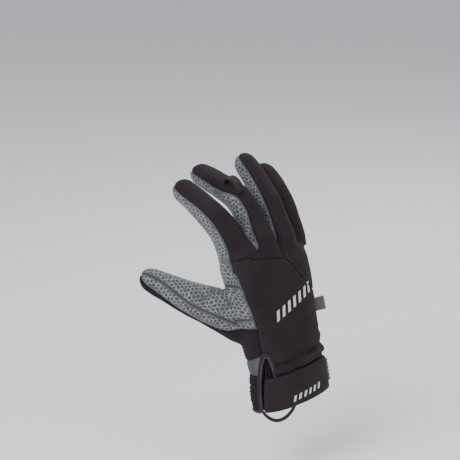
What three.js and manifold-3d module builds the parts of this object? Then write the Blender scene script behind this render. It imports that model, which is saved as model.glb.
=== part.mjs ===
import * as THREE from "three";
import { mergeVertices } from "three/addons/utils/BufferGeometryUtils.js";
import Module from "manifold-3d";

const wasm = await Module();
wasm.setup();

// Climbing glove for the right hand, hung by the loop on its middle finger.
// Millimetres. +Z runs from the cuff to the fingertips, the back of the hand
// looks along -Y, the palm along +Y, and the thumb leaves toward -X.
// The form is laid out from the cuff edge, and set last on the hanging point.

// Driving dimensions
const HAND_LENGTH = 172;
const HAND_WIDTH = 100;
const HAND_DEPTH = 48;
const FINGER_LENGTH = 127;
const FINGER_WIDTH = 28;
const FINGER_DEPTH = 30;
const THUMB_LENGTH = 136;
const THUMB_WIDTH = 50;
const THUMB_DEPTH = 36;
const WALL = 2;
const SEAM_GAP = 0.35;
const CLEARANCE = 0.35;
const CUFF_HEIGHT = 38;
const CUFF_GATHER_DEPTH = 0.9;
const SLIT_HEIGHT = 58;
const PIPING_DIAMETER = 2.6;
const GUSSET_WALL = 1.1;
const GUSSET_PLEAT_DEPTH = 1.6;
const GUSSET_PLEATS = 4;
const TAB_HEIGHT = 35;
const TAB_WALL = 2.2;
const TAB_BOTTOM = 1.5;
const FIELD_HEIGHT = 26;
const FIELD_WALL = 0.9;
const PULL_DROP = 9.5;
const PULL_WIDTH = 3.6;
const PULL_WALL = 1.4;
const HANG_LOOP_HEIGHT = 13;
const HANG_LOOP_LENGTH = 14;
const HANG_LOOP_WIDTH = 9;
const HANG_LOOP_WALL = 1.6;
const LABEL_LENGTH = 10;
const LABEL_HEIGHT = 14;
const LABEL_WALL = 1.2;

// How finely the forms are faceted, outside and inside
const HAND_SIDES = { outside: 28, inside: 20 };
const FINGER_SIDES = { outside: 12, inside: 8 };
const FINGER_RINGS = { outside: 10, inside: 7 };
const THUMB_SIDES = { outside: 14, inside: 10 };
const THUMB_RINGS = { outside: 10, inside: 7 };

// Hand sections from the cuff edge up. rise is a share of HAND_LENGTH; across and
// half, shares of HAND_WIDTH; deep, back and palm, shares of HAND_DEPTH; tilt lowers
// the side of the little finger; square is the exponent of the rounded section.
const HAND = [
  { rise: 0.0, across: 0.06, deep: 0.06, half: 0.44, back: 0.56, palm: 0.56, tilt: 0, square: 2.4 },
  { rise: 0.105, across: 0.07, deep: 0.06, half: 0.44, back: 0.55, palm: 0.56, tilt: 0, square: 2.4 },
  { rise: 0.21, across: 0.09, deep: 0.06, half: 0.43, back: 0.54, palm: 0.54, tilt: 0, square: 2.4 },
  { rise: 0.26, across: 0.1, deep: 0.08, half: 0.43, back: 0.54, palm: 0.56, tilt: 0, square: 2.4 },
  { rise: 0.34, across: 0.11, deep: 0.1, half: 0.43, back: 0.52, palm: 0.56, tilt: 0, square: 2.5 },
  { rise: 0.515, across: 0.12, deep: 0.125, half: 0.46, back: 0.5, palm: 0.56, tilt: 0.03, square: 2.7 },
  { rise: 0.69, across: 0.12, deep: 0.146, half: 0.49, back: 0.5, palm: 0.54, tilt: 0.08, square: 2.9 },
  { rise: 0.83, across: 0.12, deep: 0.167, half: 0.5, back: 0.48, palm: 0.56, tilt: 0.14, square: 3.0 },
  { rise: 0.9, across: 0.12, deep: 0.188, half: 0.49, back: 0.44, palm: 0.48, tilt: 0.17, square: 3.0 },
  { rise: 0.945, across: 0.12, deep: 0.19, half: 0.46, back: 0.33, palm: 0.34, tilt: 0.2, square: 2.9 },
  { rise: 0.97, across: 0.12, deep: 0.19, half: 0.4, back: 0.2, palm: 0.2, tilt: 0.2, square: 2.7 },
  { rise: 1.0, across: 0.12, deep: 0.19, half: 0.16, back: 0.05, palm: 0.05, tilt: 0.2, square: 2.4 },
];

// Fingers from the knuckle to the tip. across, deep and rise place the knuckle in
// shares of the hand; lean (degrees) spreads it; bones are the three lengths between
// bends, shares of FINGER_LENGTH; bend is how far each is curled (degrees); the rest
// are full widths and depths at the knuckle and the tip, shares of the finger's; web
// is the share by which the palm side is deeper at the root.
const FINGERS = {
  index: {
    across: -0.15, deep: 0.062, rise: 0.86, lean: -14,
    bones: [0.425, 0.26, 0.213], bend: [17, 40, 48],
    width: 1.1, tipWidth: 0.785, depth: 1.2, tipDepth: 0.65, web: 0.9,
  },
  middle: {
    across: 0.11, deep: 0.01, rise: 0.884, lean: -8,
    bones: [0.504, 0.283, 0.213], bend: [13, 62, 66],
    width: 1.0, tipWidth: 0.785, depth: 1.1, tipDepth: 0.64, web: 0.3,
  },
  ring: {
    across: 0.35, deep: 0.01, rise: 0.872, lean: -1,
    bones: [0.417, 0.244, 0.19], bend: [12, 26, 38],
    width: 0.93, tipWidth: 0.76, depth: 1.05, tipDepth: 0.633, web: 0.2,
  },
  little: {
    across: 0.58, deep: 0.21, rise: 0.837, lean: -3,
    bones: [0.362, 0.213, 0.173], bend: [3, 22, 42],
    width: 0.85, tipWidth: 0.71, depth: 0.88, tipDepth: 0.6, web: 0.1,
  },
};
const BEND_SPREAD = 0.126;
const TIP_ROUND = 0.1;
const ROOT_TUCK = 0.15;
const WEB = { from: 0.08, to: 0.36 };

// Thumb sections from its root. The root is placed in shares of the hand, the
// centreline in shares of THUMB_LENGTH, half in THUMB_WIDTH, thick in THUMB_DEPTH.
const THUMB_ROOT = { across: -0.06, deep: 0.29, rise: 0.465 };
const THUMB = [
  { across: 0, deep: 0, rise: 0, half: 0.48, thick: 0.5 },
  { across: -0.118, deep: 0.044, rise: 0.103, half: 0.5, thick: 0.5 },
  { across: -0.272, deep: 0.125, rise: 0.235, half: 0.42, thick: 0.444 },
  { across: -0.419, deep: 0.235, rise: 0.36, half: 0.34, thick: 0.361 },
  { across: -0.559, deep: 0.353, rise: 0.5, half: 0.26, thick: 0.306 },
  { across: -0.647, deep: 0.449, rise: 0.603, half: 0.2, thick: 0.25 },
];
const THUMB_LOWER_SIDE = new THREE.Vector3(-0.25, 0.55, -0.8);

// Materials, by the cloth or leather they stand for
const MATERIALS = {
  backCloth: { color: 0x2f282d, roughness: 0.88, metalness: 0 },
  gripCloth: { color: 0x676b71, roughness: 0.7, metalness: 0 },
  softCloth: { color: 0x271b25, roughness: 0.92, metalness: 0 },
  heelLeather: { color: 0x55535b, roughness: 0.75, metalness: 0 },
  cuffCloth: { color: 0x221921, roughness: 0.9, metalness: 0 },
  piping: { color: 0x251c25, roughness: 0.6, metalness: 0 },
  tabCloth: { color: 0x322a30, roughness: 0.8, metalness: 0 },
  loopField: { color: 0x1c181c, roughness: 1, metalness: 0 },
  webbing: { color: 0x1b181c, roughness: 0.8, metalness: 0 },
  label: { color: 0x585658, roughness: 0.7, metalness: 0 },
};

// Small helpers
const toRadians = THREE.MathUtils.degToRad;
const lerp = THREE.MathUtils.lerp;

function smoothstep(from, to, value) {
  const t = THREE.MathUtils.clamp((value - from) / (to - from), 0, 1);
  return t * t * (3 - 2 * t);
}

// A row of a table at a place between its rows
function rowAt(rows, key, value) {
  let i = 1;
  while (i < rows.length - 1 && rows[i][key] < value) i += 1;
  const a = rows[i - 1];
  const b = rows[i];
  const t = THREE.MathUtils.clamp((value - a[key]) / (b[key] - a[key]), 0, 1);
  return Object.fromEntries(Object.keys(a).map((name) => [name, lerp(a[name], b[name], t)]));
}

// A piecewise straight curve through [place, value] pairs
function ramp(pairs, place) {
  const rows = pairs.map(([at, value]) => ({ at, value }));
  return rowAt(rows, "at", place).value;
}

// Point and outward direction on a rounded section. The angle is 0 at the back and
// grows toward the little finger; inset moves the wall inward.
function onSection(section, angle, inset = 0) {
  const half = Math.max(section.half - inset, 0.05);
  const back = Math.max(section.back - inset, 0.05);
  const palm = Math.max(section.palm - inset, 0.05);
  const power = 2 / section.square;
  const sin = Math.sin(angle);
  const cos = Math.cos(angle);
  const deep = cos > 0 ? back : palm;
  const u = Math.sign(sin) * Math.abs(sin) ** power;
  const v = Math.sign(cos) * Math.abs(cos) ** power;
  const point = section.centre.clone();
  point.addScaledVector(section.across, u * half).addScaledVector(section.up, v * deep);
  const out = new THREE.Vector3();
  out.addScaledVector(section.across, (Math.sign(u) * Math.abs(u) ** (section.square - 1)) / half);
  out.addScaledVector(section.up, (Math.sign(v) * Math.abs(v) ** (section.square - 1)) / deep);
  return { point, out: out.normalize() };
}

// Hand form
function handSection(height) {
  const row = rowAt(HAND, "rise", height / HAND_LENGTH);
  return {
    centre: new THREE.Vector3(row.across * HAND_WIDTH, row.deep * HAND_DEPTH, height),
    across: new THREE.Vector3(1, 0, 0),
    up: new THREE.Vector3(0, -1, 0),
    half: row.half * HAND_WIDTH,
    back: row.back * HAND_DEPTH,
    palm: row.palm * HAND_DEPTH,
    square: row.square,
    tilt: row.tilt,
  };
}

function onHand(height, degrees, inset = 0) {
  const section = handSection(height);
  const spot = onSection(section, toRadians(degrees), inset);
  spot.point.z -= section.tilt * (spot.point.x - section.centre.x);
  return spot;
}

// The palm side of the cuff is drawn in by rows of elastic
function gatherAt(height, degrees) {
  const side = smoothstep(75, 110, Math.abs(degrees));
  const rows = 0.5 + 0.5 * Math.cos((2 * Math.PI * height * GATHER_ROWS) / CUFF_HEIGHT);
  return height < CUFF_HEIGHT ? CUFF_GATHER_DEPTH * side * rows : 0;
}

const GATHER_ROWS = 3;
function handRings(skinSide, inset) {
  const sides = HAND_SIDES[skinSide];
  const wavy = skinSide === "outside";
  const gathers = Array.from(
    { length: 2 * GATHER_ROWS - 1 },
    (_, i) => ((i + 1) * CUFF_HEIGHT) / (2 * GATHER_ROWS),
  );
  const rows = HAND.map((row) => row.rise * HAND_LENGTH).filter((h) => h > CUFF_HEIGHT * 1.05);
  const heights = [0, ...(wavy ? gathers : [CUFF_HEIGHT / 2]), CUFF_HEIGHT, ...rows];
  const lowered = heights.map((h) => (h === 0 ? -inset : h - (inset * h) / HAND_LENGTH));
  return lowered.map((height) => {
    const ring = [];
    for (let i = 0; i < sides; i += 1) {
      const degrees = (360 * i) / sides;
      const signed = degrees > 180 ? degrees - 360 : degrees;
      ring.push(onHand(height, degrees, inset + gatherAt(height, signed)).point);
    }
    return ring;
  });
}

// Finger form
function fingerLine(finger, place) {
  const [first, second, third] = finger.bones.map((share) => share * FINGER_LENGTH);
  const length = first + second + third;
  const spread = BEND_SPREAD * FINGER_LENGTH;
  const curlAt = (s) =>
    finger.bend[0] +
    (finger.bend[1] - finger.bend[0]) * smoothstep(first - spread, first + spread, s) +
    (finger.bend[2] - finger.bend[1]) *
      smoothstep(first + second - spread * 0.8, first + second + spread * 0.8, s);
  const reach = place * length;
  const steps = 120;
  let along = 0;
  let away = 0;
  for (let i = 0; i < steps; i += 1) {
    const curl = toRadians(curlAt(((i + 0.5) / steps) * reach));
    along += (Math.cos(curl) * reach) / steps;
    away += (Math.sin(curl) * reach) / steps;
  }
  const lean = toRadians(finger.lean);
  const curl = toRadians(curlAt(reach));
  const axis = new THREE.Vector3(
    Math.cos(curl) * Math.sin(lean),
    Math.sin(curl),
    Math.cos(curl) * Math.cos(lean),
  );
  const across = new THREE.Vector3(Math.cos(lean), 0, -Math.sin(lean));
  return {
    length,
    axis,
    across,
    up: across.clone().cross(axis),
    centre: new THREE.Vector3(
      finger.across * HAND_WIDTH + along * Math.sin(lean),
      finger.deep * HAND_DEPTH + away,
      finger.rise * HAND_LENGTH + along * Math.cos(lean),
    ),
  };
}

// How much of its size a section keeps near the closed end
function tipShare(left, round) {
  const t = THREE.MathUtils.clamp(left / round, 0, 1);
  return Math.sqrt(Math.max(0, 1 - (1 - t) ** 2.2));
}

const webAt = (finger, place) => 1 + finger.web * (1 - smoothstep(WEB.from, WEB.to, place));

function fingerSection(finger, place, inset = 0) {
  const line = fingerLine(finger, place);
  const taper = place ** 1.3;
  const tuck = 1 - ROOT_TUCK * (1 - smoothstep(0, 0.14, place));
  const left = (1 - place) * line.length;
  const share = tipShare(left - inset, TIP_ROUND * FINGER_LENGTH);
  const half = 0.5 * FINGER_WIDTH * lerp(finger.width, finger.tipWidth, taper);
  const deep = 0.5 * FINGER_DEPTH * lerp(finger.depth, finger.tipDepth, taper) * tuck;
  const palm = deep * share * webAt(finger, place);
  return { ...line, half: half * share, back: deep * share, palm, square: 2.4 };
}

function onFinger(finger, place, degrees, inset = 0) {
  const section = fingerSection(finger, place, 0);
  const spot = onSection(section, toRadians(degrees), inset);
  const left = (1 - place) * section.length;
  const nose = 1 - THREE.MathUtils.clamp(left / (TIP_ROUND * FINGER_LENGTH), 0, 1);
  spot.out.addScaledVector(section.axis, nose ** 2 * 3).normalize();
  return spot;
}

function fingerRings(skinSide, finger, inset) {
  const count = FINGER_RINGS[skinSide];
  const sides = FINGER_SIDES[skinSide];
  const last = 1 - inset / fingerLine(finger, 1).length;
  return Array.from({ length: count }, (_, j) => {
    const place = last * (1 - (1 - j / (count - 1)) ** 1.25);
    const section = fingerSection(finger, place, inset);
    const thin = Math.min(inset, section.half * 0.98);
    const turn = (2 * Math.PI) / sides;
    return Array.from({ length: sides }, (__, i) => onSection(section, turn * i, thin).point);
  });
}

// Thumb form
const thumbCurve = new THREE.CatmullRomCurve3(
  THUMB.map(
    (row) =>
      new THREE.Vector3(
        THUMB_ROOT.across * HAND_WIDTH + row.across * THUMB_LENGTH,
        THUMB_ROOT.deep * HAND_DEPTH + row.deep * THUMB_LENGTH,
        THUMB_ROOT.rise * HAND_LENGTH + row.rise * THUMB_LENGTH,
      ),
  ),
);

function thumbSection(place, inset = 0) {
  const rows = THUMB.map((row, i) => ({ ...row, at: i / (THUMB.length - 1) }));
  const u = thumbCurve.getUtoTmapping(place);
  const row = rowAt(rows, "at", u);
  const axis = thumbCurve.getTangent(u);
  const across = THUMB_LOWER_SIDE.clone().addScaledVector(axis, -THUMB_LOWER_SIDE.dot(axis)).normalize();
  const left = (1 - place) * thumbCurve.getLength();
  const share = tipShare(left - inset, TIP_ROUND * THUMB_LENGTH);
  return {
    centre: thumbCurve.getPoint(u),
    axis,
    across,
    up: across.clone().cross(axis),
    half: row.half * THUMB_WIDTH * share,
    back: row.thick * THUMB_DEPTH * share,
    palm: row.thick * THUMB_DEPTH * share,
    square: 2.3,
    left,
    u,
  };
}

function onThumb(place, degrees) {
  const section = thumbSection(place);
  const spot = onSection(section, toRadians(degrees));
  const nose = 1 - THREE.MathUtils.clamp(section.left / (TIP_ROUND * THUMB_LENGTH), 0, 1);
  spot.out.addScaledVector(section.axis, nose ** 2 * 3).normalize();
  return spot;
}

function thumbRings(skinSide, inset) {
  const count = THUMB_RINGS[skinSide];
  const sides = THUMB_SIDES[skinSide];
  const last = 1 - inset / thumbCurve.getLength();
  return Array.from({ length: count }, (_, j) => {
    const place = last * (1 - (1 - j / (count - 1)) ** 1.25);
    const section = thumbSection(place, inset);
    const thin = Math.min(inset, section.half * 0.98);
    const turn = (2 * Math.PI) / sides;
    return Array.from({ length: sides }, (__, i) => onSection(section, turn * i, thin).point);
  });
}

// A closed skin over rings of points, its two ends closed by fans
function skin(rings, closed = false) {
  const points = rings.flat();
  const sides = rings[0].length;
  const index = [];
  const bands = closed ? rings.length : rings.length - 1;
  for (let j = 0; j < bands; j += 1) {
    const next = (j + 1) % rings.length;
    for (let i = 0; i < sides; i += 1) {
      const k = (i + 1) % sides;
      index.push(j * sides + i, j * sides + k, next * sides + k);
      index.push(j * sides + i, next * sides + k, next * sides + i);
    }
  }
  if (!closed) {
    const total = (ring) => ring.reduce((sum, p) => sum.add(p), new THREE.Vector3());
    const middle = (ring) => total(ring).divideScalar(ring.length);
    const low = points.push(middle(rings[0])) - 1;
    const high = points.push(middle(rings.at(-1))) - 1;
    const top = (rings.length - 1) * sides;
    for (let i = 0; i < sides; i += 1) {
      const k = (i + 1) % sides;
      index.push(low, k, i);
      index.push(high, top + i, top + k);
    }
  }
  return new THREE.BufferGeometry().setFromPoints(points).setIndex(index);
}

// Solids that join and cut
function solidOf(geometry) {
  const bare = geometry.clone();
  bare.deleteAttribute("normal");
  bare.deleteAttribute("uv");
  const merged = mergeVertices(bare, 1e-4);
  const vertProperties = new Float32Array(merged.attributes.position.array);
  const make = (triVerts) => new wasm.Manifold(new wasm.Mesh({ numProp: 3, vertProperties, triVerts }));
  const made = make(new Uint32Array(merged.index.array));
  if (made.volume() > 0) return made;
  const turned = new Uint32Array(merged.index.array);
  for (let i = 0; i < turned.length; i += 3) {
    [turned[i + 1], turned[i + 2]] = [turned[i + 2], turned[i + 1]];
  }
  return make(turned);
}

function geometryOf(solid) {
  const { vertProperties, triVerts, numProp } = solid.getMesh();
  const positions = [];
  for (let i = 0; i < vertProperties.length; i += numProp) {
    positions.push(...vertProperties.slice(i, i + 3));
  }
  const geometry = new THREE.BufferGeometry();
  geometry.setAttribute("position", new THREE.Float32BufferAttribute(positions, 3));
  geometry.setIndex([...triVerts]);
  return geometry;
}

const union = (solids) => solids.reduce((sum, solid) => sum.add(solid));

// A round tube along a closed line of spots
function tube(spots, radius, sides = 6) {
  const rings = spots.map((spot, i) => {
    const before = spots[(i + spots.length - 1) % spots.length];
    const after = spots[(i + 1) % spots.length];
    const along = after.point.clone().sub(before.point).normalize();
    const side = along.clone().cross(spot.out).normalize();
    const up = side.clone().cross(along).normalize();
    const ring = [];
    for (let k = 0; k < sides; k += 1) {
      const angle = (2 * Math.PI * k) / sides;
      const point = spot.point.clone().addScaledVector(side, radius * Math.cos(angle));
      ring.push(point.addScaledVector(up, radius * Math.sin(angle)));
    }
    return ring;
  });
  return solidOf(skin(rings, true));
}

// The glove's wall: hand, fingers and thumb joined, hollow, open at the cuff
const form = (skinSide, inset) =>
  union([
    solidOf(skin(handRings(skinSide, inset))),
    ...Object.values(FINGERS).map((finger) => solidOf(skin(fingerRings(skinSide, finger, inset)))),
    solidOf(skin(thumbRings(skinSide, inset))),
  ]);
const wall = form("outside", 0).subtract(form("inside", WALL));

// Where the back panel of each finger ends, as [share of the length, angle] pairs,
// and the side panel between it and the palm panel
const FINGER_SEAMS = {
  index: {
    radial: [[0, -84], [0.2, -72], [0.3, -61], [0.5, -51], [0.67, -50], [0.8, -58], [1, -60]],
    ulnar: [[0, 42], [0.19, 44], [0.4, 62], [1, 66]],
    palm: [[0, 138], [0.4, 122], [1, 116]],
  },
  middle: {
    radial: [[0, -58], [0.25, -50], [0.4, -35], [0.5, -34], [0.6, -60], [0.72, -68], [1, -56]],
    ulnar: [[0, 45], [0.4, 62], [1, 66]],
    palm: [[0, 138], [0.4, 122], [1, 116]],
  },
  ring: {
    radial: [[0, -58], [0.3, -54], [0.6, -50], [1, -44]],
    ulnar: [[0, 50], [0.4, 64], [1, 66]],
    palm: [[0, 132], [0.4, 120], [1, 116]],
  },
  little: {
    radial: [[0, -48], [0.4, -62], [1, -64]],
    ulnar: [[0, 92], [0.5, 96], [1, 94]],
    palm: [[0, 132], [0.4, 120], [1, 116]],
  },
};

// Seam lines on the hand, as [share of HAND_LENGTH, angle] pairs
const HAND_SEAMS = {
  radialEdge: [
    [0.893, -66], [0.785, -63], [0.647, -60], [0.513, -60],
    [0.433, -63], [0.353, -65], [0.28, -66], [0.1, -66],
  ],
  knuckle: [[0.893, -66], [0.893, -36], [0.886, -16], [0.874, -2], [0.86, 5]],
  diagonal: [[0.86, 5], [0.774, 14], [0.684, 28], [0.648, 40], [0.59, 68], [0.56, 96]],
};
const SIDE_SEAM_DEEP = 0.125;
// The back panel's edge on the thumb's side, as shares of HAND_DEPTH and HAND_LENGTH
const FLANK_SEAM = [
  [0.05, 0.938], [0.03, 0.9], [-0.006, 0.878], [-0.07, 0.828], [-0.119, 0.752], [-0.152, 0.65],
];
const FLANK_ACROSS = -0.2;

// Seam lines on the thumb, as [share of the length, angle] pairs
const THUMB_SEAMS = {
  middle: [[0, 184], [0.5, 181], [0.62, 186], [0.72, 200], [0.85, 220], [1, 230]],
  lower: [[0, 168], [0.21, 162], [0.3, 142], [0.45, 132], [0.7, 140], [0.85, 160], [1, 170]],
  hidden: [[0, 0], [0.5, 5], [1, 10]],
};
// The panels at the root of the thumb meet at these shares of HAND_LENGTH
const BAND_TOP = 0.575;
const BAND_BOTTOM = 0.513;
const HEEL_TOP = 0.35;
const HEEL_SLANT = { from: -0.2, to: 0.6, drop: 0.07 };

// A wedge of space round a finger's or thumb's centreline, between two angles
const WEDGE_REACH = 1.5;
const WEDGE_STEPS = 5;
function wedge(sectionAt, fromAt, toAt, { start, grow, rings = 9 }) {
  const loops = [];
  for (let j = 0; j <= rings; j += 1) {
    const place = lerp(start, 1, Math.min(j / (rings - 1), 1));
    const section = sectionAt(place);
    const beyond = j === rings ? 2 * WALL + 2 * grow : j === 0 ? -2 * grow : 0;
    const centre = section.centre.clone().addScaledVector(section.axis, beyond);
    const spread = grow / Math.min(section.wide, section.deep);
    const from = toRadians(fromAt(place)) - spread;
    const to = toRadians(toAt(place)) + spread;
    const mid = (from + to) / 2;
    const back = grow / Math.sin((to - from) / 2);
    const edge = centre.clone().addScaledVector(section.across, -Math.sin(mid) * back);
    const loop = [edge.addScaledVector(section.up, -Math.cos(mid) * back)];
    for (let k = 0; k <= WEDGE_STEPS; k += 1) {
      const angle = lerp(from, to, k / WEDGE_STEPS);
      const half = Math.cos(angle) < 0 ? section.deepPalm : section.deep;
      const [wide, deep] = [section.wide, half].map((size) => size * WEDGE_REACH + 4 * grow);
      const point = centre.clone().addScaledVector(section.across, Math.sin(angle) * wide);
      loop.push(point.addScaledVector(section.up, Math.cos(angle) * deep));
    }
    loops.push(loop);
  }
  return solidOf(skin(loops));
}

function fingerWedge(name, from, to, grow) {
  const finger = FINGERS[name];
  const lines = FINGER_SEAMS[name];
  const angle = (line, place) => ramp(lines[line.name], place) * (line.sign ?? 1);
  const at = (place) => {
    const section = fingerSection(finger, place);
    const taper = place ** 1.3;
    return {
      ...section,
      wide: 0.5 * FINGER_WIDTH * lerp(finger.width, finger.tipWidth, taper),
      deep: 0.5 * FINGER_DEPTH * lerp(finger.depth, finger.tipDepth, taper),
      deepPalm: 0.5 * FINGER_DEPTH * lerp(finger.depth, finger.tipDepth, taper) * webAt(finger, place),
    };
  };
  return wedge(at, (place) => angle(from, place), (place) => angle(to, place), { start: 0.05, grow });
}

const backOf = (name, grow) => fingerWedge(name, { name: "radial" }, { name: "ulnar" }, grow);
const ulnarSideOf = (name, grow) => fingerWedge(name, { name: "ulnar" }, { name: "palm" }, grow);
const radialSideOf = (name, grow) =>
  fingerWedge(name, { name: "palm", sign: -1 }, { name: "radial" }, grow);

function thumbWedge(from, to, grow) {
  const at = (place) => {
    const section = thumbSection(place);
    const rows = THUMB.map((r, i) => ({ ...r, at: i / (THUMB.length - 1) }));
    const row = rowAt(rows, "at", section.u);
    const deep = row.thick * THUMB_DEPTH;
    return { ...section, wide: row.half * THUMB_WIDTH, deep, deepPalm: deep };
  };
  const line = (pairs) => (place) => ramp(pairs, place);
  return wedge(at, line(from), line(to), { start: 0, grow });
}

// A straight prism on an outline. Seen from the back its outline is [x, z] and it
// runs along Y; seen from the thumb's side it is [y, z] and it runs along X.
function prism(outline, view, from, to, grow) {
  const area = outline.reduce((sum, [a, b], i) => {
    const [c, d] = outline[(i + 1) % outline.length];
    return sum + a * d - c * b;
  }, 0);
  const ring = area > 0 ? outline : [...outline].reverse();
  const edgeOut = (i) => {
    const [a, b] = ring[i];
    const [c, d] = ring[(i + 1) % ring.length];
    return new THREE.Vector2(d - b, a - c).normalize();
  };
  const grown = ring.map(([a, b], i) => {
    const before = edgeOut((i + ring.length - 1) % ring.length);
    const after = edgeOut(i);
    const corner = before.clone().add(after);
    corner.multiplyScalar((2 * grow) / Math.max(corner.lengthSq(), 0.5));
    return [a + corner.x, b + corner.y];
  });
  const shape = new THREE.Shape(grown.map(([a, b]) => new THREE.Vector2(a, b)));
  const depth = to - from + 2 * grow;
  const geometry = new THREE.ExtrudeGeometry(shape, { depth, bevelEnabled: false });
  const seenFromBack = view === "back";
  const first = seenFromBack ? new THREE.Vector3(1, 0, 0) : new THREE.Vector3(0, 1, 0);
  const second = new THREE.Vector3(0, 0, 1);
  geometry.applyMatrix4(new THREE.Matrix4().makeBasis(first, second, first.clone().cross(second)));
  geometry.translate(seenFromBack ? 0 : from - grow, seenFromBack ? to + grow : 0, 0);
  return solidOf(geometry);
}

// Spots of the hand's seams, seen from the back
const traceHand = (line) =>
  HAND_SEAMS[line].map(([share, angle]) => onHand(share * HAND_LENGTH, angle).point);
const fromBack = (points) => points.map((point) => [point.x, point.z]);
const radialEdge = fromBack(traceHand("radialEdge"));
const knuckle = fromBack(traceHand("knuckle"));
const diagonal = fromBack(traceHand("diagonal"));
const FAR = HAND_WIDTH;
const backFace = -HAND_DEPTH * 1.5;
const sideFace = SIDE_SEAM_DEEP * HAND_DEPTH;

const fingerSpot = (name, place, angle) => fromBack([onFinger(FINGERS[name], place, angle).point])[0];
// The foot of the side panel between two fingers, on the back
function crotchFoot(nameA, nameB) {
  const [ax, az] = fingerSpot(nameA, 0.14, FINGER_SEAMS[nameA].ulnar[0][1]);
  const [bx, bz] = fingerSpot(nameB, 0.12, FINGER_SEAMS[nameB].radial[0][1]);
  return [(ax + bx) / 2, (az + bz) / 2 - 2 * WALL];
}
const footIndexMiddle = crotchFoot("index", "middle");
const footMiddleRing = crotchFoot("middle", "ring");
const footRingLittle = crotchFoot("ring", "little");

const backHandOutline = [
  ...radialEdge,
  [FAR, radialEdge.at(-1)[1]],
  [FAR, diagonal.at(-1)[1]],
  ...[...diagonal].reverse(),
  ...[...knuckle].slice(1, -1).reverse(),
];
const flank = FLANK_SEAM.map(([deep, share]) => [deep * HAND_DEPTH, share * HAND_LENGTH]);
const flankOutline = [[backFace, flank[0][1]], ...flank, [backFace, flank.at(-1)[1]]];
const backHandRegion = (grow) =>
  union([
    prism(backHandOutline, "back", backFace, sideFace, grow),
    prism(flankOutline, "side", -FAR, FLANK_ACROSS * HAND_WIDTH, grow),
  ]);
const backFingersOutline = [
  ...knuckle,
  footMiddleRing,
  fingerSpot("middle", 0.2, 10),
  footIndexMiddle,
  fingerSpot("index", 0.22, 0),
  fingerSpot("index", 0.2, -72),
];
const backFingersRegion = (grow) =>
  union([
    backOf("index", grow),
    backOf("middle", grow),
    prism(backFingersOutline, "back", backFace, sideFace, grow),
  ]);
const backUlnarOutline = [
  ...diagonal,
  [FAR, diagonal.at(-1)[1]],
  [FAR, fingerSpot("little", 0.1, 90)[1]],
  fingerSpot("little", 0.18, 0),
  footRingLittle,
  fingerSpot("ring", 0.2, 0),
  footMiddleRing,
];
const backUlnarRegion = (grow) =>
  union([
    backOf("ring", grow),
    backOf("little", grow),
    prism(backUlnarOutline, "back", backFace, sideFace, grow),
  ]);
const CROTCH = { foot: 0.05 * HAND_WIDTH, top: 0.04 * HAND_WIDTH, height: 0.16 * HAND_WIDTH };
function sideRegion(nameA, nameB, [x, z], grow) {
  const outline = [
    [x - CROTCH.foot, z],
    [x + CROTCH.foot, z],
    [x + CROTCH.top, z + CROTCH.height],
    [x - CROTCH.top, z + CROTCH.height],
  ];
  const crotch = prism(outline, "back", backFace, HAND_DEPTH, grow);
  return union([ulnarSideOf(nameA, grow), radialSideOf(nameB, grow), crotch]);
}
const rise = (share) => share * HAND_LENGTH;
const rootFace = THUMB_ROOT.across * HAND_WIDTH - 0.04 * HAND_WIDTH;
// A block at the root of the thumb, as deep as a share of HAND_DEPTH
function rootBlock(deep, low, high, grow) {
  const face = deep * HAND_DEPTH;
  const outline = [[-HAND_DEPTH, low], [face, low], [face, high], [-HAND_DEPTH, high]];
  return prism(outline, "side", -FAR, rootFace, grow);
}
const thumbBackRegion = (grow) =>
  union([
    thumbWedge(THUMB_SEAMS.hidden, THUMB_SEAMS.lower, grow),
    rootBlock(0.55, rise(HEEL_TOP - HEEL_SLANT.drop), rise(BAND_BOTTOM), grow),
  ]);
const thumbBandRegion = (grow) =>
  union([
    thumbWedge(THUMB_SEAMS.lower, THUMB_SEAMS.middle, grow),
    rootBlock(0.2, rise(BAND_BOTTOM), rise(BAND_TOP), grow),
  ]);
// The heel patch is lower on the palm's side
const heelOutline = [
  [-HAND_DEPTH, CUFF_HEIGHT],
  [HEEL_SLANT.to * HAND_DEPTH, CUFF_HEIGHT],
  [HEEL_SLANT.to * HAND_DEPTH, rise(HEEL_TOP - HEEL_SLANT.drop)],
  [HEEL_SLANT.from * HAND_DEPTH, rise(HEEL_TOP)],
  [-HAND_DEPTH, rise(HEEL_TOP)],
];
const heelRegion = (grow) => prism(heelOutline, "side", -FAR, rootFace, grow);
// The thumb's upper panel ends on a slanting line round its root
const PAD_OUTLINE = [
  [-0.346, BAND_TOP], [-0.2, BAND_BOTTOM], [-0.2, 0.66],
  [-0.37, 0.785], [-1.2, 1.1], [-1.2, 0],
];
const padOutline = PAD_OUTLINE.map(([across, share]) => [across * HAND_WIDTH, rise(share)]);
const thumbPadRegion = (grow) => prism(padOutline, "back", -HAND_DEPTH, 2 * HAND_DEPTH, grow);

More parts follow.
